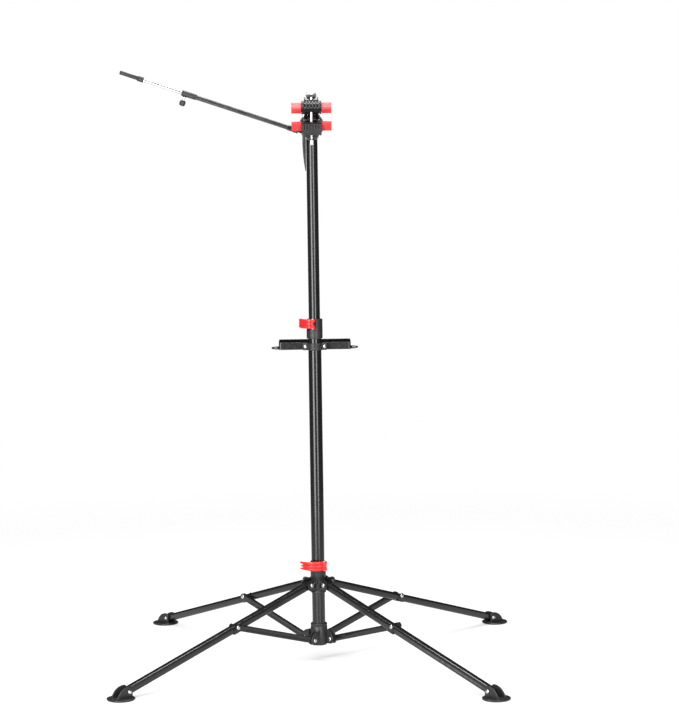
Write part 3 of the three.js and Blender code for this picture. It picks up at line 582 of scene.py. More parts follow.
def leg_clip():
    """The bracket on a leg tube at the brace's rivet."""
    run, rise, pitch = BRACE_S - PIVOT, HUB_Z - BRACE_Z, RAD(LEG_PITCH)
    along = run * math.cos(pitch) + rise * math.sin(pitch)
    above = run * math.sin(pitch) - rise * math.cos(pitch)
    ears = arc(0, 0, 7.4, 0, 180, 18) + [(-12, -9), (-12, -11.9), (12, -11.9), (12, -9)]
    outline = [(along + x, above + z if z > -4 else z) for x, z in ears]
    inner = [(along - 20, -10.6), (along + 20, -10.6), (along + 20, 30), (along - 20, 30)]
    shell = cut(upright(outline, -11.25, 11.25), upright(inner, -10.15, 10.15))
    return softened(shell, 0.3, 2, 40)


def brace_body():
    bar = upright(stadium(0, BRACE_LENGTH, 17, 14), -4, 4)
    channel = block(15, BRACE_LENGTH - 15, -2.6, 2.6, -20, 6.9)
    groove = upright(stadium(30, BRACE_LENGTH - 30, 5, 8), 3.5, 5)
    return softened(cut(bar, channel, groove), 0.9, 3, 40)


def foot_disc():
    plate = lathe([(0, 1.7), (35.4, 1.7), (36.5, 2.1), (36.85, 3.0), (36.6, 4.2), (35.6, 5.0), (34.2, 4.9),
                   (33.0, 4.1), (30.5, 3.7), (0, 3.7)], 72)
    dents = [shift(lathe([(0, 3.2), (2.6, 3.2), (3.4, 5), (0, 5)], 20), x, y)
             for x, y in ((0, 26), (0, -26), (26, 0))]
    plate = cut(plate, *dents)
    base = softened(prism(rounded(-28, 22, -15.2, 15.2, 3), 3.4, 5.3), 0.5, 2)
    return shift(joined(plate, base), x=18)


def foot_ears():
    outline = [(-9.5, 3.6), (-10.8, 24)] + curve((-10.8, 26), (-9, 34), (0, 34), 8)
    outline += curve((2, 34), (30, 31), (40, 3.6), 14)
    parts = []
    for low, rib_y in ((10.6, 14.2), (-14.2, -14.8)):
        parts.append(softened(upright(outline, low, low + 3.6), 1.3, 4, 40))
        rib = lathe([(5.9, 0), (7.6, 0), (7.4, 0.6), (6.1, 0.6)], 32, loop=True)
        parts.append(shift(along_y(rib), y=rib_y, z=FOOT_Z))
    web = softened(block(-10.4, -8.6, -11, 11, 3.6, 7.2), 0.4, 2)
    return joined(*parts, web)


def foot_sole():
    sole = lathe([(0, 0), (33.6, 0), (34.8, 0.7), (34.8, 1.8), (0, 1.8)], 64)
    return shift(cut(sole, *[pipe(r + 1.0, r, -1, 0.6, 48, 0.1) for r in (12, 18, 24, 30)]), x=18)


def make_leg(name, azimuth):
    sector = spin(azimuth, "Z")
    leg_place = sector @ spot(PIVOT, 0, HUB_Z) @ spin(LEG_PITCH, "Y")
    leg, brace, foot = f"leg_{name}", f"brace_{name}", f"foot_{name}"
    piece(f"leg_tube_{name}", leg_body(), "powder", leg, leg, place=leg_place)
    piece(f"leg_clip_{name}", leg_clip(), "powder", leg, place=leg_place)
    brace_place = sector @ spot(PIVOT, BRACE_OFFSET, COLLAR_Z) @ spin(-BRACE_PITCH, "Y")
    piece(f"brace_bar_{name}", brace_body(), "powder", brace, brace, place=brace_place)
    foot_place = sector @ spot(FOOT_S, 0, 0)
    piece(f"foot_plate_{name}", joined(foot_disc(), foot_ears()), "cast", foot, foot, place=foot_place)
    piece(f"foot_pad_{name}", foot_sole(), "rubber", foot, place=foot_place)
    piece(f"hub_rivet_bright_{name}", rivet(-13.3, 13.3), "zinc", "hub", f"hub_rivet_{name}",
          place=sector @ spot(PIVOT, 0, HUB_Z))
    piece(f"brace_rivet_bright_{name}", rivet(-11.4, 19.8), "zinc", brace, f"brace_rivet_{name}",
          place=sector @ spot(BRACE_S, 0, BRACE_Z))
    piece(f"foot_rivet_bright_{name}", rivet(-14.5, 14.5), "zinc", leg, f"foot_rivet_{name}",
          place=sector @ spot(FOOT_S, 0, FOOT_Z))


for leg_name, leg_azimuth in LEGS.items():
    make_leg(leg_name, leg_azimuth)


# -------- bottom collar and hub
def octagon(half_width, low, high, corner):
    return [(-half_width + corner, low), (half_width - corner, low), (half_width, low + corner),
            (half_width, high - corner), (half_width - corner, high), (-half_width + corner, high),
            (-half_width, high - corner), (-half_width, low + corner)]


def wing_shell(inner, thick, flat):
    """One bent plate between two legs, standing `inner` off each leg's centre line."""
    root2, reach = math.sqrt(2), 49.0
    outer = inner + thick

    def to_xy(s, t):
        return ((s + t) / root2, (t - s) / root2)

    a = to_xy(reach, inner)
    b = to_xy(flat * root2 - inner, inner)
    c = to_xy((flat + thick) * root2 - outer, outer)
    d = to_xy(reach, outer)
    mirror = [(x, -y) for x, y in (b, a, d, c)]
    return prism([a, b, *mirror, c, d], HUB_Z - 15, HUB_Z + 15)


def facing(outline):
    """A prism through a wing plate, whose outline is drawn looking along the plate's own normal."""
    return moved(prism(outline, 0, 80), Matrix(((0, 0, 1), (1, 0, 0), (0, 1, 0))).to_4x4())


def wing(azimuth):
    width = 27.2
    whole = octagon(width, HUB_Z - 15, HUB_Z + 15, 7.0)
    inset = octagon(width - 3.0, HUB_Z - 12.2, HUB_Z + 12.2, 5.8)
    shell = softened(within(wing_shell(10.8, 2.2, 20.1), facing(whole)), 0.4, 2, 40)
    band = cut(within(wing_shell(12.6, 1.1, 21.9), facing(whole)), facing(inset))
    return turn(joined(shell, softened(band, 0.35, 2, 40)), azimuth, "Z")


def hub_sleeve():
    body = lathe([(17.9, 184), (19.6, 184), (20.8, 185.4), (20.8, 189), (20.2, 189.8), (20.2, 226.5),
                  (20.8, 227.5), (20.8, 247), (20.8, 268.4), (19.8, 270), (17.9, 270)], 72, loop=True)
    slit = turn(block(10, 30, -1.1, 1.1, 238, 272), -32, "Z")
    return union(cut(body, slit), lever_lug(259.5, -52, 20.8))


def lever_lug(z, azimuth, radius):
    tongue = prism([(radius - 1.2, -4.5), (LEVER_PIN, -4.5)] + arc(LEVER_PIN, 0, 4.5, -90, 90, 10)[1:-1]
                   + [(LEVER_PIN, 4.5), (radius - 1.2, 4.5)], z - 4, z + 4)
    hole = shift(rod_solid(2.8, z - 9, z + 9, 20), x=LEVER_PIN)
    return turn(softened(cut(tongue, hole), 0.5, 2, 40), azimuth, "Z")


def clevis(azimuth):
    outline = [(16, 45), (34, 45)] + arc(PIVOT, COLLAR_Z, 13, -82, 43, 18)
    outline += curve((42.8, 67.6), (40, 80), (16, 84), 8)
    parts = [softened(upright(outline, low, low + 2.5), 0.6, 3, 40) for low in (-7.1, 4.6)]
    for y, degrees in ((-7.1, 180), (7.1, 0)):
        rim = along_y(lathe([(9.6, 0), (11.6, 0), (11.3, 0.7), (9.9, 0.7)], 40, loop=True))
        parts.append(shift(turn(rim, degrees, "X"), x=PIVOT, y=y, z=COLLAR_Z))
    return turn(shift(joined(*parts), y=BRACE_OFFSET), azimuth, "Z")


def bottom_collar():
    body = lathe([(0, 40), (18.2, 40), (20, 40.4), (21.9, 42.4), (22.6, 45), (22.6, 90), (21.9, 91),
                  (21.9, 93), (22.6, 94), (22.6, 98.4), (21.2, 100), (17.9, 100), (17.9, 48.2),
                  (0, 48.2)], 72)
    return joined(body, *[clevis(a) for a in LEGS.values()])


def collar_rivets():
    return joined(*[turn(shift(rivet(-7.4, 7.4), x=PIVOT, y=BRACE_OFFSET, z=COLLAR_Z), azimuth, "Z")
                    for azimuth in LEGS.values()])


piece("bottom_collar_casting", bottom_collar(), "plastic", "frame", "bottom_collar")
piece("bottom_collar_rivets", collar_rivets(), "zinc", "frame")
piece("hub_casting", hub_sleeve(), "plastic", "hub", "hub")
piece("hub_wing_plates", joined(*[wing(a + 45) for a in LEGS.values()]), "powder", "hub")


# -------- quick-release levers and knobs
def lever_section(part):
    centre = LEVER_PIN + (LEVER_END - LEVER_PIN) * part ** 1.6
    angle = -part * RAD(LEVER_SWEEP)
    half = 3.2 - 0.7 * part
    deep = 2.1 + 0.3 * part
    crown = 12.5 - 2.5 * max(0.0, (part - 0.5) / 0.5)
    side = [(half, 0.0), (half - 0.15, 0.19), (half - deep, 0.29), (half - deep, 0.4), (half - 0.15, 0.5),
            (half, 0.68), (half - 0.25, 0.86), (half - 1.1, 0.97), (half - 2.0, 1.0), (-half + 0.9, 1.0),
            (-half, 0.9)]
    rows = [(u, -v) for u, v in reversed(side)] + side[1:]
    return [((centre + u) * math.cos(angle), (centre + u) * math.sin(angle), crown * v) for u, v in rows]


def lever_body():
    arm = sweep([lever_section(k / 40) for k in range(41)])
    head = barrel([(0, -12.5), (5.4, -12.5), (6.3, -12.1), (6.6, -11.4)], 44)
    body = union(arm, shift(head, x=LEVER_PIN))
    room = [shift(rod_solid(4.9, -4.6, 4.6, 36, 0.1), x=LEVER_PIN)]
    for k in range(6):
        room.append(shift(turn(block(0, 14, -4.9, 4.9, -4.6, 4.6), 180 - 22 * k, "Z"), x=LEVER_PIN))
    hole = shift(rod_solid(2.85, -14, 14, 24, 0.1), x=LEVER_PIN)
    tip = RAD(-LEVER_SWEEP)
    end = Vector((LEVER_END * math.cos(tip), LEVER_END * math.sin(tip), 0))
    place = Matrix.Translation(end) @ Matrix.Rotation(tip + PI / 2 + RAD(14), 4, "Z")
    fingers = [(6.6, -1.6), (6, -0.8), (6, 0.8), (6.6, 1.6)]
    notches = upright([(-1.5, -7.2)] + arc(11, -3.8, 1.3, -90, 90, 6) + fingers
                      + arc(11, 3.8, 1.3, -90, 90, 6) + [(-1.5, 7.2)], -8, 8)
    return softened(cut(body, *room, hole, moved(notches, place)), 0.35, 2, 50)


def lever_pin():
    return shift(capped_pin(rod_solid(2.5, -13, 13, 24, 0.2), 4, 1.6, 12.8), x=LEVER_PIN)


def thumb_screw(bearing):
    grip = lathe([(0, 3.6), (6.9, 3.6), (7.5, 4.4), (7.5, 11.8), (6.7, 13), (4.6, 13), (4.2, 12.2),
                  (0, 12.2)], 60)
    grip = within(grip, prism(star(7.5, 0.75, 18), 0, 20))
    washer = pipe(5.4, 2.0, 0.2, 1.4, 32, 0.2)
    screw = rod_solid(2.4, 0.1, 5, 20, 0.2)
    return shift(along_y(grip), y=bearing), shift(along_y(joined(washer, screw)), y=bearing)


def make_clamp(prefix, body, azimuth, z, knob_z, bearing):
    """The cam lever at height z and the adjusting screw on the collar's rear face."""
    place = spot(0, 0, z) @ spin(azimuth, "Z")
    piece(f"{prefix}_lever_arm", lever_body(), "red", f"{prefix}_clamp_lever", f"{prefix}_clamp_lever",
          place=place)
    piece(f"{prefix}_lever_bolt", lever_pin(), "zinc", body, f"{prefix}_clamp_pin", place=place)
    grip, screw = thumb_screw(bearing)
    piece(f"{prefix}_knob_grip", grip, "plastic", f"{prefix}_clamp_knob", f"{prefix}_clamp_knob",
          place=spot(z=knob_z))
    piece(f"{prefix}_knob_screw", screw, "zinc", f"{prefix}_clamp_knob", place=spot(z=knob_z))


make_clamp("hub", "hub", -52, 259.5, 240, 21.1)
make_clamp("mast", "frame", -100, 916.5, 888, 21.8)


# -------- mast and tray
def mast_collar():
    body = lathe([(17.9, 876), (20.8, 876), (21.5, 877), (21.5, 926.6), (20.4, 928), (15.7, 928),
                  (15.7, 905.4), (17.9, 905.4)], 72, loop=True)
    grooves = [pipe(23.4, 20.9, z, z + 0.8, 72, 0.1) for z in (880.0, 899.5)]
    slit = turn(block(10, 30, -1.1, 1.1, 907, 930), -80, "Z")
    return union(cut(body, slit, *grooves), lever_lug(916.5, -100, 21.5))


TRAY_X, TRAY_FRONT, TRAY_BACK, TRAY_FLOOR = 97.0, 13.0, 111.0, 844.0
TRAY_INSIDE = rounded(1.3 - TRAY_X, TRAY_X - 1.3, TRAY_FRONT + 1.3, TRAY_BACK - 1.3, 4.7, 8)
SADDLE_LOW, SADDLE_HIGH = 844.2, 863.3
BOLT_X, BOLT_Z = 25.8, 853.75


def tube_room(low, high, sides=48):
    """Cuts the room for the main tube out of the tray parts."""
    return rod_solid(17.95, low - 3, high + 3, sides, 0.1)


def bolt_holes():
    return [shift(along_y(rod_solid(3.4, -40, 40, 20)), x=s * BOLT_X, z=BOLT_Z) for s in (1, -1)]


def tray_wall():
    low, high = TRAY_FLOOR, 862.7
    outer = prism(rounded(-TRAY_X, TRAY_X, TRAY_FRONT, TRAY_BACK, 6, 8), low, high)
    slots = [prism(rounded(x - 8, x + 8, 58, 63, 2.4), low - 2, low + 4) for x in range(-60, 61, 24)]
    return cut(outer, prism(TRAY_INSIDE, low + 1.6, high + 5), tube_room(low, high + 5), *slots)


def tray_rim():
    return loop_bead([(x, y, 862.2) for x, y in TRAY_INSIDE], [1.3] * len(TRAY_INSIDE))


def tray_tabs():
    front, back = TRAY_FRONT, TRAY_BACK
    middle = (front + back) / 2
    parts = []
    for side in (1, -1):
        outline = [(96, front + 12)] + curve((100, front + 13), (117, front + 20), (117, front + 40), 6)
        outline += curve((117, back - 40), (117, back - 20), (100, back - 13), 6) + [(96, back - 12)]
        rooms = [rounded(101, 111, middle - 14, middle + 14, 4.5)]
        rooms += [rounded(108, 120, middle + c - 3, middle + c + 3, 2.8) for c in (-26, 26)]
        tab = prism([(side * x, y) for x, y in outline], 844, 845.6)
        rooms = [prism([(side * x, y) for x, y in room], 836, 856) for room in rooms]
        parts.append(softened(cut(tab, *rooms), 0.3, 2, 40))
    rear = prism([(-30, back - 1)] + curve((-26, back + 2), (-22, back + 20), (-10, back + 20), 5)
                 + curve((10, back + 20), (22, back + 20), (26, back + 2), 5) + [(30, back - 1)], 844, 845.6)
    rear = cut(rear, prism(rounded(-11, 11, back + 5, back + 14, 4), 836, 856))
    return joined(*parts, softened(rear, 0.3, 2, 40))


def tray_saddle():
    low, high = SADDLE_LOW, SADDLE_HIGH
    wrap = cut(prism(rounded(-32, 32, 1.0, 16, 1.2), low, high), tube_room(low, high), *bolt_holes())
    return softened(wrap, 0.4, 2, 40)


def strap_shell():
    low, high = SADDLE_LOW, SADDLE_HIGH
    band = rod_solid(19.9, low, high, 64, 0.5)
    rib = [(18, -1.6), (19.8, -1.6), (20.7, -0.8), (20.7, 0.8), (19.8, 1.6), (18, 1.6)]
    ribs = [shift(lathe(rib, 64, loop=True), z=z) for z in (847.0, BOLT_Z, 860.5)]
    flange = softened(prism(rounded(-32, 32, -5, -1.3, 1.2), low, high), 0.3, 2, 40)
    behind = block(-60, 60, -1.3, 60, low - 4, high + 4)
    return cut(union(band, flange, *ribs), behind, tube_room(low, high, 64), *bolt_holes())


def tray_bolt():
    head = shift(turn(button_head(4.4, 3.4), 90, "X"), y=-5.3)
    nut = shift(turn(hex_nut(8.4, 3.6), -90, "X"), y=15.4)
    shank = along_y(rod_solid(2.9, -6, 19.2, 20, 0.4))
    return joined(head, nut, shank)


def mast_weld():
    path = []
    for k in range(72):
        a = 2 * PI * k / 72
        x, y = 15.9 * math.sin(a), 15.9 * math.cos(a)
        path.append((x, y, AXIS_Z - math.sqrt(17.9 ** 2 - x * x) - 0.5))
    return loop_bead(path, [1.8 + 0.35 * math.sin(2.1 * k) for k in range(72)])


def upper_tube():
    tube = pipe(15.2, 13.7, 705, 1441, 64, 0.4)
    return cut(tube, shift(along_y(rod_solid(17.8, -40, 40, 64)), z=AXIS_Z))


piece("lower_mast_tube", pipe(17.5, 15.9, 48.6, 905, 72, 0.6), "powder", "frame", "main_tube")
piece("mast_collar_casting", mast_collar(), "plastic", "frame", "mast_collar")
piece("tray_pan", joined(tray_wall(), tray_tabs()), "powder", "frame", "tool_tray")
piece("tray_rolled_rim", tray_rim(), "powder", "frame")
piece("tray_saddle_block", tray_saddle(), "plastic", "frame")
piece("tray_strap_half", strap_shell(), "plastic", "frame", "tray_strap")
for bolt_side, bolt_name in ((-1, "left"), (1, "right")):
    piece(f"tray_screw_{bolt_name}", tray_bolt(), "zinc", "frame", f"tray_bolt_{bolt_name}",
          place=spot(bolt_side * BOLT_X, 0, BOLT_Z))
piece("upper_mast_tube", upper_tube(), "powder", "mast", "upper_tube")
piece("mast_weld_bead", mast_weld(), "powder", "mast")


# -------- head
HEAD = spot(0, 0, AXIS_Z)
JAW_REACH, JAW_Z, SEAT, QR_REACH, CAM_Z = 157.4, 26.6, 252.5, 206.4, 79.5
JAW_OPEN = 13.0
JAW = HEAD @ spot(0, -JAW_REACH, JAW_Z) @ spin(-JAW_OPEN, "X")
UP_SEAT = SEAT - JAW_REACH


def cross_rod(radius, half, y, z):
    return shift(along_x(rod_solid(radius, -half, half, 28, 0.1)), y=y, z=z)


def crossbar():
    return along_y(lathe([(13.9, -74), (17.0, -74), (17.5, -73.5), (17.5, 43), (18.7, 44), (18.7, 49.4),
                          (18.1, 50), (13.9, 50)], 72, loop=True))


def crossbar_bolt():
    top = shift(button_head(3.6, 2.4), y=33, z=17.2)
    bottom = shift(turn(hex_nut(6.2, 2.6), 180, "X"), y=33, z=-17.2)
    return joined(top, bottom)


def toothed_disc(hub_radius, hub_low, hub_high, low, high, bore):
    profile = [(bore, low), (31.0, low), (33.0, low + 1.2), (33.0, high - 1.2), (31.0, high), (bore, high)]
    plate = within(lathe(profile, 96, loop=True), prism(star(33, 1.0, 40, 4), low - 1, high + 1))
    hub = lathe([(bore, hub_low), (hub_radius - 0.8, hub_low), (hub_radius, hub_low + 0.8),
                 (hub_radius, hub_high - 0.8), (hub_radius - 0.8, hub_high), (bore, hub_high)], 64, loop=True)
    dish = pipe(28.5, 22.5, low - 1, low + 1.1, 64, 0.2)
    dish_back = pipe(28.5, 22.5, high - 1.1, high + 1, 64, 0.2)
    return along_y(joined(cut(plate, dish, dish_back), hub))


def lock_handle():
    barrel = along_y(lathe([(0, 50.6), (13.2, 50.6), (14.5, 51.6), (14.5, 54), (13.6, 54.8), (13.6, 56.6),
                            (14.5, 57.4), (14.5, 92.4), (12.6, 94.8), (0, 94.8)], 56))
    web = softened(block(-18, -1, 76.2, 94.8, -12.5, 13.5), 2.0, 3, 40)
    sections = []
    for k in range(25):
        t = k / 24
        z = 17 - 142 * t
        outer = -21.5 - 5.2 * math.sin(PI * min(1.0, t * 1.02)) ** 0.8 + 3.0 * t
        inner = -15.8 - 0.7 * t
        middle, half = (outer + inner) / 2, max(0.9, (inner - outer) / 2)
        y0, y1 = 76.2 + 2.2 * t, 94.8 - 1.6 * t
        ring = rounded(middle - half, middle + half, y0, y1, min(half * 0.9, 2.4), 4)
        sections.append([(x, y, z) for x, y in ring])
    blade = softened(sweep(sections), 0.7, 2, 60)
    dent = softened(block(-40, -21.4, 80.5, 90.5, -92, -18), 1.0, 2)
    return joined(barrel, web, cut(blade, dent))


def head_block():
    body = side_on([(145, -22), (188, -22), (188, 12), (182, 17.4), (145, 17.4)], -22, 22)
    windows = [side_on(rounded(172, 184, -15, 8, 2), s, s + 3) for s in (20.5, -23.5)]
    body = softened(cut(body, along_y(rod_solid(13.95, -200, -140, 48, 0.1)), *windows), 1.1, 3, 30)
    ear = side_on([(147, 10), (171, 10)] + arc(JAW_REACH, JAW_Z, 8, 0, 180, 16), -9.5, 9.5)
    ear = softened(cut(ear, cross_rod(3.3, 30, -JAW_REACH, JAW_Z)), 0.7, 3, 40)
    lug = softened(cut(block(-14.5, 14.5, -171, -155, -36, -20), cross_rod(3.3, 30, -163, -28.5),
                       block(-1.2, 1.2, -180, -150, -40, -22.5)), 1.2, 3, 40)
    gusset = softened(upright([(-22, -20), (-14.5, -31), (14.5, -31), (22, -20)], -187, -150), 1.0, 3, 30)
    gusset = cut(gusset, block(-30, 30, -176, -140, -40, -22.4))
    plate = softened(block(-17, 17, -197.5, -180, 13.4, 16.8), 0.5, 2)
    return joined(body, ear, lug, gusset, plate)


def bolt_pair(y, z, bearing, radius, height):
    left = shift(turn(button_head(radius, height), -90, "Y"), x=-bearing, y=y, z=z)
    right = shift(turn(hex_nut(radius * 1.72, height), 90, "Y"), x=bearing, y=y, z=z)
    return joined(left, right, cross_rod(2.9, bearing + 1, y, z))


def vee(arm, thick):
    half = thick / 2
    tip = arm * math.sqrt(0.5)
    inner = curve((3.4, half * 1.41 + 3.4), (0, half * 1.41), (-3.4, half * 1.41 + 3.4), 5)
    outer = curve((-6, -half * 1.41 + 6), (0, -half * 1.41 - 0.6), (6, -half * 1.41 + 6), 7)
    return outer + arc(tip, tip, half, -45, 135, 8) + inner + arc(-tip, tip, half, 45, 225, 8)


def pad(side):
    low, high = sorted((26.5 * side, 51.4 * side))
    body = side_on(vee(24, 8), low + 0.5, high - 0.5)
    grooves = []
    for k in range(1, 5):
        across = (3.6 * k + 2.4) * math.sqrt(0.5)
        for sign in (1, -1):
            groove = along_x(rod_solid(0.75, low - 2, high + 2, 10, 0.05))
            grooves.append(shift(groove, y=sign * (across - 2.83), z=across + 2.83))
    rims = [softened(side_on(vee(24.4, 9.0), at, at + 1.6), 0.4, 2, 50) for at in (low, high - 1.6)]
    return joined(softened(cut(body, *grooves), 0.35, 2, 50), *rims)


def lower_jaw():
    outline = [(188.4, -23), (254, -23)] + curve((256, -23), (273, -21), (277, 6), 12)
    outline += [(271, 10), (254.5, -4.4), (253.2, -5), (251.8, -5), (250.5, -4.4), (236, 10), (231, 8)]
    outline += [(224, 5.5), (188.4, 5.5)]
    body = side_on(outline, -26, 26)
    slot = [(266, -30), (290, -30), (290, 4.4), (270.5, 4.4), (268, -12)]
    slots = [side_on(slot, -20.8 + 7.4 * k, -16.2 + 7.4 * k) for k in range(6)]
    rod = block(-5.5, 5.5, -221, -187, -40, 20)
    hollows = [side_on([(196, -18), (232, -18), (226, 1), (196, 1)], x, x + 5) for x in (24.4, -29.4)]
    corners = [upright([(27 * s, -14), (27 * s, -24), (16 * s, -24)][::s], -290, -240) for s in (1, -1)]
    body = softened(cut(body, *slots, rod, *hollows, *corners), 0.8, 2, 35)
    wings = shift(side_on(vee(22, 3.4), -28, 28), y=-SEAT, z=-8.7)
    ribs = [softened(block(s, s + 2.0, -231, -190.4, -24.4, -22.6), 0.3, 1) for s in (-24, -12.5, 10.5, 22)]
    return joined(body, wings, *ribs)


def upper_jaw():
    r, z = UP_SEAT, 9.7
    outline = [(10, -8)] + curve((12, -7.6), (30, -2), (r - 21, -3), 10)
    outline += [(r - 16, -6), (r - 2, z - 5), (r, z - 4.4), (r + 2, z - 5), (r + 18, -9), (r + 24, -5)]
    outline += curve((r + 24, -3), (r + 23, 14), (r + 3, 16.5), 12)
    outline += curve((r + 2, 16.6), (80, 19), (66, 19.5), 6)
    outline += [(45, 19.5)] + curve((44, 19.4), (20, 17), (5, 8.4), 8)
    outline += arc(0, 0, 9, 62, 306, 20)
    body = side_on(outline, -26, 26)
    slot = [(r + 13, -20), (r + 40, -20), (r + 40, 40), (r + 6, 40), (r + 6, 11.5), (r + 13, 6.5)]
    slots = [side_on(slot, x - 2.2, x + 2.2) for x in range(-16, 17, 8)]
    root = [block(x0, x1, -34, 12, -20, 40) for x0, x1 in ((-10.2, 10.2), (19, 40), (-40, -19))]
    hollow = [(44, 3), (r - 20, 2), (r - 16, 8), (r - 14, 14), (46, 15)]
    hollows = [side_on(hollow, x, x + 5) for x in (24.6, -29.6)]
    pivot = along_x(rod_solid(3.3, -40, 40, 24, 0.1))
    body = softened(cut(body, *slots, *root, *hollows, pivot, qr_room()), 0.8, 2, 35)
    boss = side_on([(43, 14), (67, 14), (67.2, 27.2), (45.5, 31.0), (43, 22)], -19, 19)
    boss = softened(cut(boss, qr_room()), 1.0, 3, 35)
    cheek = [(42.5, 14), (68, 14), (68, 27), (60, 35.6), (50, 37), (43, 32)]
    cheeks = [softened(side_on(cheek, x, x + 4), 0.8, 2) for x in (14.6, -18.6)]
    wings = shift(turn(side_on(vee(22, 3.4), -28, 28), 180, "X"), y=-r, z=z)
    return joined(body, boss, *cheeks, wings)


def qr_room():
    """The room for the quick-release rod, which stands upright when the jaw is open."""
    at = Matrix.Rotation(RAD(JAW_OPEN), 3, "X") @ Vector((0, JAW_REACH - QR_REACH, CAM_Z - 20 - JAW_Z))
    return shift(turn(rod_solid(5.0, -60, 60, 32, 0.1), JAW_OPEN, "X"), y=at.y, z=at.z)


def qr_lever():
    z = CAM_Z
    cam = along_x(barrel([(0, -12), (8.2, -12), (9.8, -10.6), (10, -9)], 48))
    eye = along_x(rod_solid(11.5, -4.7, 4.7, 40, 0.1))
    sections = []
    start, middle, end = (QR_REACH - 5, z + 1.0), (152, z + 0.5), (122.6, 47.8)
    for k, (reach, height) in enumerate(curve(start, middle, end, 20)):
        t = k / 20
        along = [(1 - t) * (m - s) + t * (e - m) for s, m, e in zip(start, middle, end)]
        n_reach, n_height = -along[1] / math.hypot(*along), along[0] / math.hypot(*along)
        half_w = 8.0 - 2.4 * t
        half_t = 4.6 * (1 - t) ** 0.7 * 0.8 + 1.5
        ring = []
        for i in range(20):
            a = 2 * PI * i / 20
            u = half_w * math.copysign(abs(math.cos(a)) ** 0.55, math.cos(a))
            v = half_t * math.copysign(abs(math.sin(a)) ** 0.75, math.sin(a))
            v -= 0.9 * (1 - (u / half_w) ** 2) * (1 if v < 0 else 0) * (0.2 - v / half_t) * min(1.0, 4 * t)
            ring.append((u, -(reach + n_reach * v), height + n_height * v))
        sections.append(ring)
    arm = softened(sweep(sections), 0.3, 1, 70)
    body = union(shift(cam, y=-QR_REACH, z=z), arm)
    return cut(body, shift(eye, y=-QR_REACH, z=z), cross_rod(2.9, 20, -QR_REACH, z))


def qr_rod():
    shank = rod_solid(4.2, -47, CAM_Z - 3, 36, 0.3)
    thread = [shift(lathe([(4.0, -0.45), (4.55, 0), (4.0, 0.45)], 28, loop=True), z=-46.5 + 1.05 * k)
              for k in range(30)]
    eye = shift(along_x(barrel([(0, -4.3), (5.4, -4.3), (6.2, -3.4)], 32)), z=CAM_Z)
    pin = shift(along_x(rod_solid(2.5, -12.6, 12.6, 24, 0.3)), z=CAM_Z)
    return joined(shank, *thread, eye, pin, *side_heads(4.6, 1.5, 12.3, z=CAM_Z))


def qr_nut():
    return within(lathe([(0, -48.8), (4.6, -48.8), (6.0, -47.4), (6.0, -37.6), (5.6, -36.4), (0, -36.4)], 48),
                  prism(star(6.0, 0.5, 14), -60, -20))


HEAD_PIECES = (
    ("crossbar", crossbar(), "powder", "mast", "crossbar_tube"),
    ("crossbar_bolt", crossbar_bolt(), "zinc", "mast"),
    ("fixed_toothed_disc", toothed_disc(20.5, -78, -68, -87, -78, 17.8), "cast", "mast", "fixed_disc"),
    ("fixed_disc_pins", joined(*side_heads(3.4, 2.2, 20.2, -73)), "zinc", "mast"),
    ("turning_toothed_disc", toothed_disc(19.5, -105, -97, -97, -87.6, 13.9), "cast", "head", "turning_disc"),
    ("turning_disc_pins", joined(*side_heads(3.4, 2.2, 19.2, -101)), "zinc", "head"),
    ("head_tube", along_y(pipe(13.5, 11.5, -182, 47, 64, 0.4)), "powder", "head", "head_shaft"),
    ("lock_handle_grip", lock_handle(), "plastic", "lock_handle", "lock_handle"),
    ("head_casting", head_block(), "cast", "head", "head_block"),
    ("head_pinch_bolt", bolt_pair(-163, -28.5, 14.7, 4.8, 3.2), "zinc", "head", "block_bolt"),
    ("head_side_bolts", joined(*side_heads(5.4, 2.6, 21.9, -163.5, -3)), "zinc", "head"),
    ("jaw_pivot_screw", bolt_pair(-JAW_REACH, JAW_Z, 19.3, 6.0, 3.6), "zinc", "head", "jaw_pivot_bolt"),
    ("lower_jaw_casting", lower_jaw(), "cast", "head", "lower_jaw"),
    ("quick_release_lever", qr_lever(), "steel", "qr_lever", "qr_lever"),
    ("quick_release_rod", shift(qr_rod(), y=-QR_REACH), "steel", "upper_jaw", "qr_rod"),
    ("quick_release_nut", shift(qr_nut(), y=-QR_REACH), "steel", "upper_jaw"),
    ("quick_release_washer", shift(pipe(6.8, 4.6, -36, -34.4, 40, 0.2), y=-QR_REACH), "plastic", "upper_jaw"),
)
for piece_name, solid, look, body, *nodes in HEAD_PIECES:
    piece(piece_name, solid, look, body, *nodes, place=HEAD)
piece("upper_jaw_casting", upper_jaw(), "cast", "upper_jaw", "upper_jaw", place=JAW)
for side, side_name in ((-1, "left"), (1, "right")):
    piece(f"lower_grip_{side_name}", pad(side), "pad", "head", f"lower_pad_{side_name}",
          place=HEAD @ spot(0, -SEAT, -8.7))
    piece(f"upper_grip_{side_name}", turn(pad(side), 180, "X"), "pad", "upper_jaw", f"upper_pad_{side_name}",
          place=JAW @ spot(0, -UP_SEAT, 9.7))


# -------- handlebar rod
ROD_RISE, ROD_DROP = 18.9, 24.0
FORK_X, KNOB_X, HOOK_X = 35.0, 339.0, 454.0
ROD = spot(-ROD_DROP * math.sin(RAD(ROD_RISE)), -121, AXIS_Z - ROD_DROP * math.cos(RAD(ROD_RISE)))
ROD = ROD @ spin(180 + ROD_RISE, "Y")


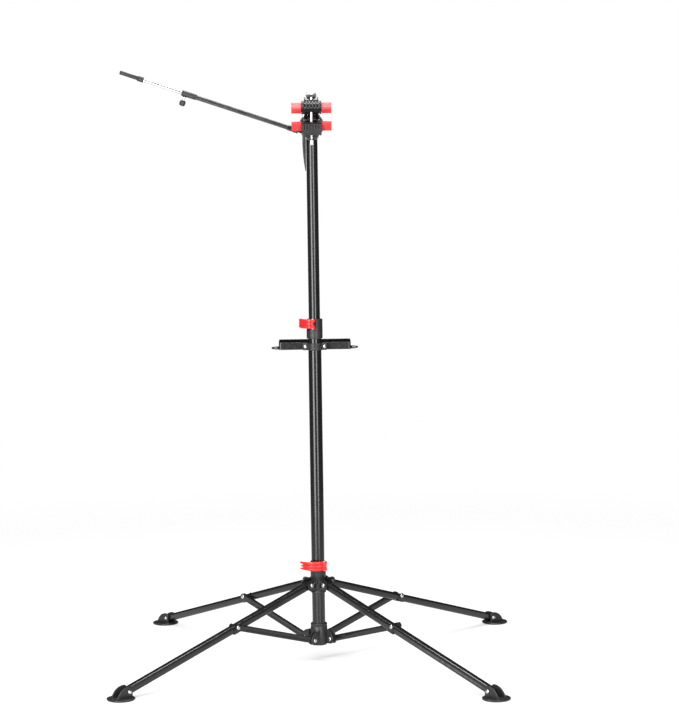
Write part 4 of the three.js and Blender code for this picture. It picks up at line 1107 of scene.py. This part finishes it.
def ring_body():
    band = along_y(pipe(17.9, 13.9, -6.5, 6.5, 56, 0.9))
    neck = prism([(8, -3.9), (27, -3.9)] + arc(FORK_X, 0, 8, -120, 120, 20) + [(27, 3.9), (8, 3.9)], -4, 4)
    neck = softened(cut(neck, shift(rod_solid(3.3, -20, 20, 24, 0.1), x=FORK_X)), 0.8, 3, 40)
    lug = upright([(-5.5, -8), (4, -7.8), (14, -9.4), (25, -7), (25, 3.9), (0, 3.9)], -3.9, 3.9)
    return joined(shift(band, z=-ROD_DROP), neck, softened(lug, 0.9, 3, 40))


def rod_sleeve():
    tube = along_x(lathe([(4.6, 53), (6, 53), (6, 310), (4.6, 310)], 40, loop=True))
    socket = along_x(lathe([(0, 45), (6.2, 45), (7, 46), (7, 57), (6.2, 58), (0, 58)], 40))
    cheeks = [softened(prism(stadium(FORK_X, FORK_X + 12, 13), z, z + 2.5), 0.6, 3, 40) for z in (4.5, -7.0)]
    return joined(tube, socket, *cheeks)


def rod_collar():
    body = along_x(lathe([(4.6, 309), (6.6, 309), (7.5, 310.4), (7.5, 315), (7.0, 315.6), (7.0, 317),
                          (7.5, 317.6), (7.5, 348), (6.6, 349), (4.6, 349)], 44, loop=True))
    boss = shift(rod_solid(4.6, 6.2, 9.2, 28, 0.4), x=KNOB_X)
    return joined(body, boss)


def rod_pin():
    return shift(capped_pin(rod_solid(2.9, -7, 7, 20, 0.1), 5, 1.6, 6.9), x=FORK_X)


def knob():
    stem = lathe([(0, 9.4), (2.2, 9.4), (2.2, 18.6), (0, 18.6)], 20)
    grip = lathe([(0, 18.2), (5.4, 18.2), (7.6, 20.6), (8, 23), (8, 27), (7.2, 30.4), (5, 32.6), (0, 33)], 60)
    grip = within(grip, prism(star(8.0, 0.9, 12), 0, 60))
    return shift(stem, x=KNOB_X), shift(grip, x=KNOB_X)


def hook_socket():
    return along_x(lathe([(4.5, 0), (6.4, 0), (7, 0.8), (7, 3), (6.5, 3.5), (6.5, 4.5), (7, 5), (7, 15.2),
                          (6.2, 16), (0, 16), (0, 12), (4.5, 12)], 40))


def hook_loop():
    outline = [(12, -7), (26, -13.4), (53, -13.4)] + curve((54, -13.3), (65, -12), (65, 0), 8)
    outline += curve((65, 1), (65, 12), (55, 13.4), 8) + [(47, 12.4), (47, 6.6)]
    outline += curve((48, 6.4), (57, 6), (57, 0), 6) + curve((57, -1), (57, -6), (50, -6.5), 6)
    outline += [(29, -6.5), (25, -3), (25, 4), (33.4, 7), (33.4, 12.8), (26, 13.4), (12, 7)]
    body = softened(prism(outline, -5, 5), 1.0, 3, 35)
    ribs = [softened(block(30 + 4 * k, 31.4 + 4 * k, -14.0, -12.6, -4.4, 4.4), 0.3, 1) for k in range(6)]
    return joined(body, *ribs)


knob_stem, knob_grip = knob()
ROD_PIECES = (
    ("rod_ring_band", ring_body(), "plastic", "rod_ring", "rod_ring"),
    ("rod_outer_tube", rod_sleeve(), "powder", "rod_tube", "rod_tube"),
    ("rod_end_collar", rod_collar(), "plastic", "rod_tube"),
    ("rod_fork_pin", rod_pin(), "zinc", "rod_tube"),
    ("rod_inner_bar", along_x(rod_solid(4.2, 200, 465, 40, 0.4)), "steel", "rod_core", "rod_core"),
    ("rod_knob_grip", knob_grip, "plastic", "rod_knob", "rod_knob"),
    ("rod_knob_stem", knob_stem, "zinc", "rod_knob"),
    ("rod_hook_socket", shift(hook_socket(), x=HOOK_X), "plastic", "rod_hook", "rod_hook"),
    ("rod_hook_loop", shift(hook_loop(), x=HOOK_X), "rubber", "rod_hook"),
)
for piece_name, solid, look, body, *nodes in ROD_PIECES:
    piece(piece_name, solid, look, body, *nodes, place=ROD)


bpy.context.view_layer.update()
